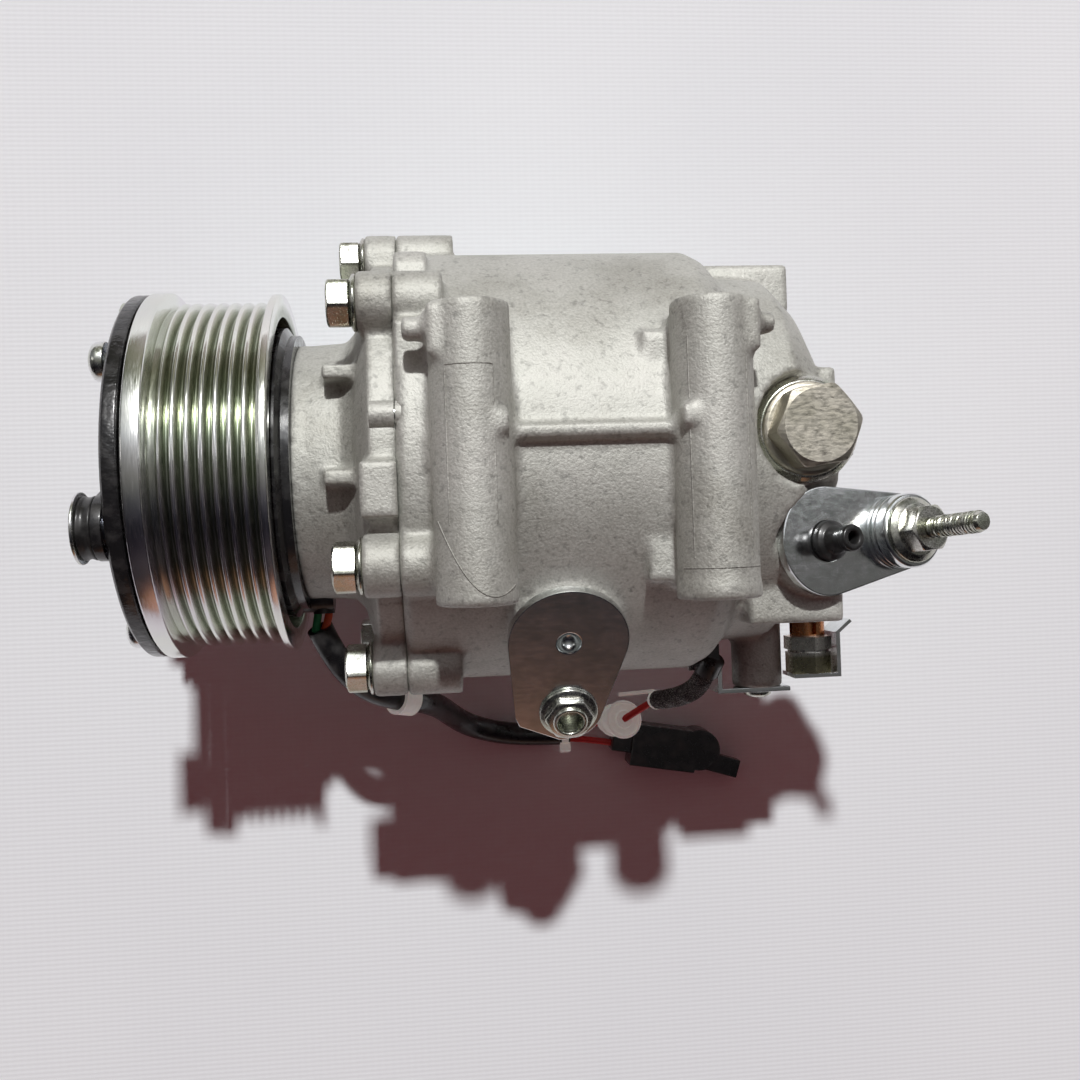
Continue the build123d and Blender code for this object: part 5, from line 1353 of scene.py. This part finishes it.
@dataclass
class ClutchFace:
    """Armature plate, its rivets, and the hub with its rubber stops and their caps."""

    shop: Workshop
    lobe_radius: float = 44.5
    rivet_angles: tuple[float, ...] = (40.0, 160.0, 280.0)
    stop_angles: tuple[float, ...] = (100.0, 220.0, 340.0)
    head_radius: float = 5.4
    stop_radius: float = 8.4
    cap_radius: float = 9.4
    washer_radius: float = 7.5

    def armature(self) -> None:
        """Turns the armature plate with its chattered rim."""
        low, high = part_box("armature_plate")
        front, rear, radius = low.x / MM, high.x / MM, high.y / MM
        corners = [(front, 25.0), (front, radius - 1.0), (front + 0.9, radius), (rear - 0.5, radius),
                   (rear, radius - 0.5), (rear, 25.0)]
        self.shop.piece("armature", self.shop.turned(corners, along((0, 0, 0), (1, 0, 0)), 0.3, 160),
                        CHATTER, Body.ARMATURE, ["armature_plate"])

    def rivets(self) -> None:
        """Repeats the domed rivet round the plate."""
        low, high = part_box("armature_rivets")
        tall = (high.x - low.x) / MM
        seat = tall - 5.8
        radius = self.head_radius
        corners = [(0.0, 0.0), (0.0, 2.6), (tall - seat, 2.6), (tall - seat, radius - 0.3),
                   (tall - seat + 0.4, radius), (tall - 2.4, radius), (tall - 1.2, radius * 0.90),
                   (tall - 0.35, radius * 0.62), (tall, radius * 0.25), (tall, 0.0)]
        part = self.shop.turned(corners, FORWARD, 0.5, 48)
        places = [polar(self.lobe_radius, a, high.x / MM) for a in self.rivet_angles]
        self.shop.piece("domed_rivets", self.shop.repeated(part, places, RIVET), RIVET, Body.ARMATURE,
                        ["armature_rivets"])

    def stops(self) -> None:
        """Repeats the waisted rubber stop and its thin cap."""
        low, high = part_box("hub_stop_rubbers")
        tall = (high.x - low.x) / MM
        radius = self.stop_radius
        corners = [(0.0, 2.6), (0.0, radius - 0.5), (0.5, radius), (tall * 0.35, radius - 0.35),
                   (tall * 0.6, radius - 0.5), (tall - 0.5, radius), (tall, radius - 0.4), (tall, 2.6)]
        places = [polar(self.lobe_radius, a, high.x / MM) for a in self.stop_angles]
        part = self.shop.turned(corners, FORWARD, 0.4, 48)
        self.shop.piece("rubber_stops", self.shop.repeated(part, places, RUBBER), RUBBER, Body.SHAFT,
                        ["hub_stop_rubbers"])
        low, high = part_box("hub_stop_caps")
        tall = (high.x - low.x) / MM
        corners = [(0.0, 0.0), (0.0, 2.6), (tall - 1.1, 2.6), (tall - 1.1, self.cap_radius - 0.2),
                   (tall - 0.8, self.cap_radius), (tall - 0.35, self.cap_radius),
                   (tall, self.cap_radius - 0.7), (tall, 3.2), (tall - 0.4, 2.4), (tall - 0.4, 0.0)]
        places = [polar(self.lobe_radius, a, high.x / MM) for a in self.stop_angles]
        part = self.shop.turned(corners, FORWARD, 0.15, 48)
        self.shop.piece("stop_caps", self.shop.repeated(part, places, RIVET), RIVET, Body.SHAFT,
                        ["hub_stop_caps"])

    def hub(self) -> None:
        """Softens the hub's edges and makes its centre bolt."""
        self.shop.piece("hub", self.shop.copied("clutch_hub", 0.45), PAINT, Body.SHAFT, ["clutch_hub"])
        low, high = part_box("hub_bolt")
        seat = low.x / MM + 5.8
        shank = high.x / MM - seat
        flange = self.shop.turned([(-shank, 0.0), (-shank, 2.6), (-shank + 0.5, 3.0), (0.0, 3.0),
                                   (0.0, self.washer_radius - 0.3), (0.35, self.washer_radius),
                                   (1.0, self.washer_radius - 0.3), (1.4, 5.8), (1.4, 0.0)],
                                  shifted(FORWARD, z=-seat), 0.2, 48)
        head = hexagon_mesh(10.0, 4.4, shifted(FORWARD, z=-seat + 1.4))
        self.shop.piece("hub_centre_bolt", joined(flange, head), BOLT, Body.SHAFT, ["hub_bolt"])

    def build(self) -> None:
        """Makes every piece of the clutch's front."""
        self.armature()
        self.rivets()
        self.stops()
        self.hub()


@dataclass
class FieldCoil:
    """Coil shell and its moulded winding behind the pulley."""

    shop: Workshop

    def build(self) -> None:
        """Softens the shell's turned edges and the moulding's."""
        shell = self.shop.copied("coil_shell", 0.35)
        self.shop.piece("coil_case", shell, PAINT, Body.ROOT, ["coil_shell"])
        winding = self.shop.copied("coil_winding", 0.3)
        self.shop.piece("coil_moulding", winding, MOULDED, Body.ROOT, ["coil_winding"])


# ---------------------------------------------------------------- castings
@dataclass
class Castings:
    """Front and rear castings, with the flash lines and machined rings on them."""

    shop: Workshop
    neck: Matrix
    tube_x: tuple[float, float] = (66.2, 126.5)
    tube_z: float = 64.0
    tube_radius: float = 10.2
    neck_radius: float = 14.5
    parting_x: float = 47.5
    dowel_circle: float = 58.6
    dowel_angles: tuple[float, float] = (10.0, -135.0)
    dowel_boss_radius: float = 3.5

    def dowel_bosses(self) -> None:
        """Adds the cast metal round each dowel, split at the parting face."""
        wide = self.dowel_boss_radius
        halves = []
        for angle in self.dowel_angles:
            place = turned_place(polar(self.dowel_circle, angle, self.parting_x), (90, "Y"))
            for low, high in ((-6.4, -0.12), (0.12, 6.4)):
                corners = [(low, 0.0), (low, wide), (high, wide), (high, 0.0)]
                halves.append(self.shop.turned(corners, place, 0.25, 48))
        self.shop.piece("dowel_bosses", joined(*halves), CAST, Body.ROOT)

    def flash(self, name: str, lines: Sequence[Sequence[Point]], width: float = 0.24) -> None:
        """Lays thin raised parting lines on a casting, in a darker finish that is painted shade.

        Args:
            name: The piece's name.
            lines: Points of each line, in millimetres.
            width: Half the width of a line, in millimetres.
        """
        ridges = [tube_mesh([Vector(p) * MM for p in line], width * MM, 6) for line in lines]
        self.shop.piece(name, joined(*ridges), SHADED_FLASH, Body.ROOT, angle=70.0)

    def tube_line(self, index: int, turn: float, start: float, end: float) -> list[Point]:
        """Line along an upper mounting tube at an angle turned from its top towards +X."""
        x = self.tube_x[index] + self.tube_radius * math.sin(math.radians(turn))
        z = self.tube_z + self.tube_radius * math.cos(math.radians(turn))
        return [(x, start + (end - start) * i / 12, z - 0.08) for i in range(13)]

    def ring_line(self, index: int, y: float, low: float, high: float) -> list[Point]:
        """Line round part of an upper mounting tube."""
        made = []
        for i in range(13):
            turn = math.radians(low + (high - low) * i / 12)
            made.append((self.tube_x[index] + (self.tube_radius - 0.08) * math.sin(turn), y,
                         self.tube_z + (self.tube_radius - 0.08) * math.cos(turn)))
        return made

    def build(self) -> None:
        """Remeshes both castings and adds what is too fine for them."""
        front = self.shop.casting("front_housing", 0.95, 0.62)
        self.shop.piece("front_casting", front, CAST, Body.ROOT, ["front_housing"], angle=75.0)
        rear = self.shop.casting("shell_housing", 1.15, 0.62)
        self.shop.piece("rear_casting", rear, CAST, Body.ROOT, ["shell_housing"], angle=75.0)
        self.dowel_bosses()
        curve = [(self.tube_x[0] + self.tube_radius * math.sin(a),
                  -28.0 - 5.5 * math.cos(2 * a) - 9.0 * math.sin(a),
                  self.tube_z - 0.08 + self.tube_radius * math.cos(a))
                 for a in (math.radians(-62 + 124 * i / 24) for i in range(25))]
        self.flash("tube_flash_lines", [curve, self.tube_line(0, -38, -18, 20),
                                        self.tube_line(0, 30, -18, 20), self.ring_line(0, 20, -38, 30),
                                        self.ring_line(1, -30.5, -70, 70),
                                        self.tube_line(1, -48, -28, 26), self.tube_line(1, 40, -28, 26)])
        neck = self.neck_radius
        ring = [(-3.2, neck - 1), (-3.2, neck + 0.1), (-2.4, neck + 0.1), (-2.2, neck - 0.3),
                (-1.9, neck - 0.3), (-1.7, neck + 0.1), (-1.1, neck + 0.1), (-1.0, neck - 1)]
        rings = self.shop.turned(ring, self.neck, 0.08, 96)
        self.shop.piece("suction_neck_rings", rings, MACHINED, Body.ROOT)


# ---------------------------------------------------------------- fasteners
@dataclass
class CaseBolts:
    """The seven case bolts with their domed washers."""

    shop: Workshop
    circle: float = 62.4
    angles: tuple[float, ...] = (90.0, 40.0, -26.0, -63.0, -122.0, -163.0, 150.0)
    depths: tuple[float, ...] = (17.0, 13.0, 13.0, 15.0, 13.0, 13.0, 13.0)
    face: float = 38.3
    parting: float = 47.5
    flats: float = 12.0
    height: float = 5.6
    washer_radius: float = 7.4
    washer_height: float = 1.8
    shank: float = 3.4

    def build(self) -> None:
        """Repeats one bolt and one washer; every bolt gets the shank of the deepest one."""
        long_end = self.parting + max(self.depths) - 4 - self.face
        head = hexagon_mesh(self.flats, self.height, shifted(turned_place((0, 0, 0), (12, "X"), (-90, "Y")),
                                                             z=self.washer_height))
        shank = self.shop.turned([(-long_end + 4, 0.0), (-long_end + 4, self.shank),
                                  (self.washer_height, self.shank), (self.washer_height, 0.0)],
                                 FORWARD, 0.2, 32)
        places = [polar(self.circle, a, self.face) for a in self.angles]
        bolts = self.shop.repeated(joined(head, shank), places, BOLT)
        self.shop.piece("flange_bolts", bolts, BOLT, Body.ROOT, ["case_bolts"], angle=24.0)
        tall = self.washer_height
        wide = self.washer_radius
        ring = self.shop.turned([(0.0, self.shank), (0.0, wide - 0.15), (0.45, wide), (0.8, wide - 0.1),
                                 (tall - 0.35, wide - 1.2), (tall, wide - 1.9), (tall, self.shank)],
                                FORWARD, 0.25, 48)
        washers = self.shop.repeated(ring, places, BOLT)
        self.shop.piece("domed_washers", washers, BOLT, Body.ROOT, ["case_bolt_washers"])


# ---------------------------------------------------------------- ports
@dataclass
class SuctionCap:
    """Shipping cap of the suction port: bright plate with a dimple, and its hollow-ended bolt."""

    shop: Workshop
    port: Matrix
    offset: tuple[float, float] = (0.5, -22.5)
    thickness: float = 3.0

    def build(self) -> None:
        """Softens the plate and turns the bolt."""
        plate = self.shop.copied("suction_cap_plate", 0.5)
        self.shop.piece("suction_plate", plate, PLATE, Body.ROOT, ["suction_cap_plate"])
        place = shifted(self.port, self.offset[0], self.offset[1], self.thickness)
        flange = self.shop.turned([(-17.0, 0.0), (-17.0, 3.0), (-16.6, 3.4), (0.0, 3.4), (0.0, 7.7),
                                   (0.4, 8.0), (0.9, 7.8), (1.4, 6.6), (1.4, 0.0)], place, 0.2, 64)
        hexagon = hexagon_mesh(12.0, 2.6, shifted(place, z=1.4), bore=3.5)
        rim = self.shop.turned([(3.6, 3.5), (3.6, 4.7), (4.5, 4.7), (5.0, 4.3), (5.0, 3.8), (4.7, 3.5)],
                               place, 0.25, 64)
        self.shop.piece("suction_bolt", joined(flange, hexagon, rim), BOLT, Body.ROOT, ["suction_cap_bolt"])


@dataclass
class DischargeCap:
    """Shipping cap of the discharge port: pear plate, rubber plug, spacer, nut and stud."""

    shop: Workshop
    port: Matrix
    offset: float = 25.5
    thickness: float = 3.0
    spacer_height: float = 5.5
    spacer_radius: float = 10.4
    nut_bore: float = 2.6
    thread_radius: float = 3.0
    stud_length: float = 33.0
    thread_pitch: float = 1.0

    def build(self) -> None:
        """Makes the cap from its plate outwards."""
        plate = self.shop.copied("discharge_cap_plate", 0.55)
        self.shop.piece("discharge_plate", plate, PLATE, Body.ROOT, ["discharge_cap_plate"])
        plug = [(-9.0, 0.0), (-9.0, 5.0), (-8.6, 5.4), (0.0, 5.4), (0.0, 5.3), (0.5, 5.5), (2.0, 5.4),
                (2.5, 4.6), (2.9, 3.8), (5.5, 3.1), (7.6, 3.1), (8.0, 3.5), (9.9, 3.6), (10.4, 3.2),
                (10.4, 1.9), (9.6, 1.6), (5.5, 1.6), (5.5, 0.0)]
        self.shop.piece("port_plug", self.shop.turned(plug, shifted(self.port, z=self.thickness), 0.4, 64),
                        RUBBER, Body.ROOT, ["discharge_cap_plug"])
        seat = shifted(self.port, self.offset, 0.0, self.thickness)
        tall, wide = self.spacer_height, self.spacer_radius
        spacer = [(0.0, self.nut_bore), (0.0, wide - 0.4), (0.4, wide), (1.5, wide), (1.75, wide - 0.3),
                  (2.0, wide), (tall - 0.5, wide), (tall, wide - 0.5), (tall, self.nut_bore)]
        self.shop.piece("stud_spacer", self.shop.turned(spacer, seat, 0.15, 96), PLATE, Body.ROOT,
                        ["discharge_spacer"])
        top = shifted(seat, z=tall)
        flange = self.shop.turned([(0.0, self.nut_bore), (0.0, 8.9), (0.3, 9.2), (0.8, 9.0), (1.8, 7.2),
                                   (1.8, self.nut_bore)], top, 0.25, 64)
        nut = hexagon_mesh(12.2, 5.2, shifted(top, z=1.8), bore=self.nut_bore)
        self.shop.piece("stud_nut", joined(flange, nut), BOLT, Body.ROOT, ["discharge_nut"], angle=24.0)
        self.stud()

    def stud(self) -> None:
        """Turns the stud and winds its thread."""
        place = shifted(self.port, self.offset)
        start = self.thickness + self.spacer_height + 7.4
        end = self.stud_length - 1.2
        root = self.thread_radius - 0.24
        core = self.shop.turned([(-12.0, 0.0), (-12.0, 2.3), (-11.6, 2.6), (start, 2.6), (start, root),
                                 (end + 0.1, root), (self.stud_length, 2.3), (self.stud_length, 0.0)],
                                place, 0.1, 48)
        turns = (end - start) / self.thread_pitch
        seed = bpy.data.meshes.new("seed")
        seed.from_pydata([(0.0, 0.0, 0.0)], [], [])
        helix = self.shop.thread.run(seed, Radius=(root - 0.02) * MM, Ridge=0.26 * MM, Turns=turns,
                                     Height=(end - start) * MM, Finish=BOLT.material())
        helix.transform(shifted(place, z=start))
        self.shop.piece("threaded_stud", joined(core, helix), BOLT, Body.ROOT, ["discharge_stud"])


# ---------------------------------------------------------------- rear fittings
@dataclass
class RearFittings:
    """Service plug with its washer, relief valve with its clip, and the switch in its bracket."""

    shop: Workshop
    plug_centre: Point = (156.0, 4.8, 46.0)
    plug_flats: float = 20.5
    plug_height: float = 9.0
    washer_radius: float = 14.4
    washer_height: float = 2.4
    boss_x: float = 153.6
    boss_end: float = -69.6
    sheet: float = 1.4

    def service_plug(self) -> None:
        """Makes the hexagon plug and its domed washer."""
        place = turned_place(self.plug_centre)
        tall, wide = self.washer_height, self.washer_radius
        washer = self.shop.turned([(0.0, 8.5), (0.0, wide - 0.3), (0.5, wide), (1.2, wide - 0.2),
                                   (tall, wide - 1.5), (tall, 8.5)], place, 0.3, 96)
        self.shop.piece("plug_washer", washer, BOLT, Body.ROOT, ["service_plug_washer"])
        seat = shifted(place, z=tall)
        collar = self.shop.turned([(-15.4, 0.0), (-15.4, 8.1), (-15.0, 8.5), (0.0, 8.5), (0.0, 12.4),
                                   (0.3, 12.6), (0.9, 12.4), (1.4, 11.4), (1.4, 0.0)], seat, 0.25, 96)
        head = hexagon_mesh(self.plug_flats, self.plug_height,
                            shifted(seat, z=1.4) @ Matrix.Rotation(math.radians(8), 4, "Z"))
        self.shop.piece("hexagon_plug", joined(collar, head), PLUG, Body.ROOT, ["service_plug"], angle=24.0)

    def valve(self) -> None:
        """Softens the relief valve and its clip."""
        self.shop.piece("relief_valve_body", self.shop.copied("relief_valve", 0.3), BRASS, Body.ROOT,
                        ["relief_valve"])
        self.shop.piece("valve_clip", self.shop.copied("relief_valve_clip", 0.3), PLATE, Body.ROOT,
                        ["relief_valve_clip"])

    def switch(self) -> None:
        """Softens the bracket and the switch, and makes the bracket's screw."""
        self.shop.piece("switch_bracket", self.shop.copied("sensor_bracket", 0.4), PLATE, Body.ROOT,
                        ["sensor_bracket"])
        self.shop.piece("switch_body", self.shop.copied("thermal_switch", 0.5), MOULDED, Body.ROOT,
                        ["thermal_switch"])
        place = along(Vector((self.boss_x, self.boss_end - self.sheet, 0.0)) * MM, (0, -1, 0))
        screw = [(-10.4, 0.0), (-10.4, 2.0), (-10.0, 2.4), (0.0, 2.4), (0.0, 4.2), (0.3, 4.4), (1.2, 4.1),
                 (2.0, 2.6), (2.0, 1.6), (1.2, 1.2), (1.2, 0.0)]
        self.shop.piece("switch_bracket_screw", self.shop.turned(screw, place, 0.3, 48), BOLT, Body.ROOT,
                        ["bracket_screw"])

    def build(self) -> None:
        """Makes every fitting on the rear block."""
        self.service_plug()
        self.valve()
        self.switch()


def carry_over(cad: dict[str, bpy.types.Object]) -> None:
    """Gives every CAD node its procedural finish.

    Args:
        cad: The frame's CAD objects by name.
    """
    finishes = {
        CAST: ["front_housing", "shell_housing"], ZINC: ["pulley_rotor"],
        PAINT: ["armature_plate", "clutch_hub", "coil_shell"],
        MOULDED: ["coil_winding", "lead_connector", "thermal_switch"],
        BOLT: ["case_bolts", "case_bolt_washers", "suction_cap_bolt", "discharge_stud", "discharge_nut",
               "discharge_spacer", "service_plug_washer", "hub_bolt", "bracket_screw", "reed_screw"],
        PLUG: ["service_plug"],
        PLATE: ["suction_cap_plate", "discharge_cap_plate", "sensor_bracket", "relief_valve_clip"],
        RIVET: ["armature_rivets", "hub_stop_caps"],
        BEARING: ["pulley_bearing_inner_race", "pulley_bearing_outer_race", "pulley_bearing_ball_set",
                  "main_bearing_inner_race", "main_bearing_outer_race", "main_bearing_ball_set",
                  "shaft_needle_shell", "shaft_needles", "scroll_needles", "drive_shaft", "clutch_shim",
                  "anti_rotation_pins", "anti_rotation_rings", "case_dowels", "snap_rings", "thrust_plate"],
        SPRING: ["armature_springs", "discharge_reed", "reed_retainer"],
        MACHINED: ["fixed_scroll", "orbiting_scroll"], IRON: ["counterweight", "eccentric_bushing"],
        RUBBER: ["hub_stop_rubbers", "shaft_seal", "discharge_cap_plug", "body_o_rings"],
        BRASS: ["relief_valve"], SLEEVE: ["coil_lead"], BRAID: ["thermal_lead"], RED_WIRE: ["lead_wires"],
        GLOWING_NYLON: ["bullet_connector", "lead_clip"]}
    for finish, nodes in finishes.items():
        for node in nodes:
            shown = cad[node]
            shown.data.materials.clear()
            shown.data.materials.append(finish.material())


def main() -> None:
    """Builds the scene round the frame."""
    logging.basicConfig(level=logging.INFO, format="%(name)s: %(message)s")
    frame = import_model()
    Studio().build()
    shop = Workshop(frame["nodes"])
    suction = turned_place((90.0, -48.0, 46.0), (30, "X"))
    discharge = turned_place((161.0, -25.5, 41.0), (20, "Y"), (-4, "X"), (4, "Z"))
    Leads(shop).build()
    BeltPulley(shop).build()
    ClutchFace(shop).build()
    FieldCoil(shop).build()
    Castings(shop, suction).build()
    CaseBolts(shop).build()
    SuctionCap(shop, suction).build()
    DischargeCap(shop, discharge).build()
    RearFittings(shop).build()
    carry_over(frame["nodes"])


if __name__ == "__main__":
    main()
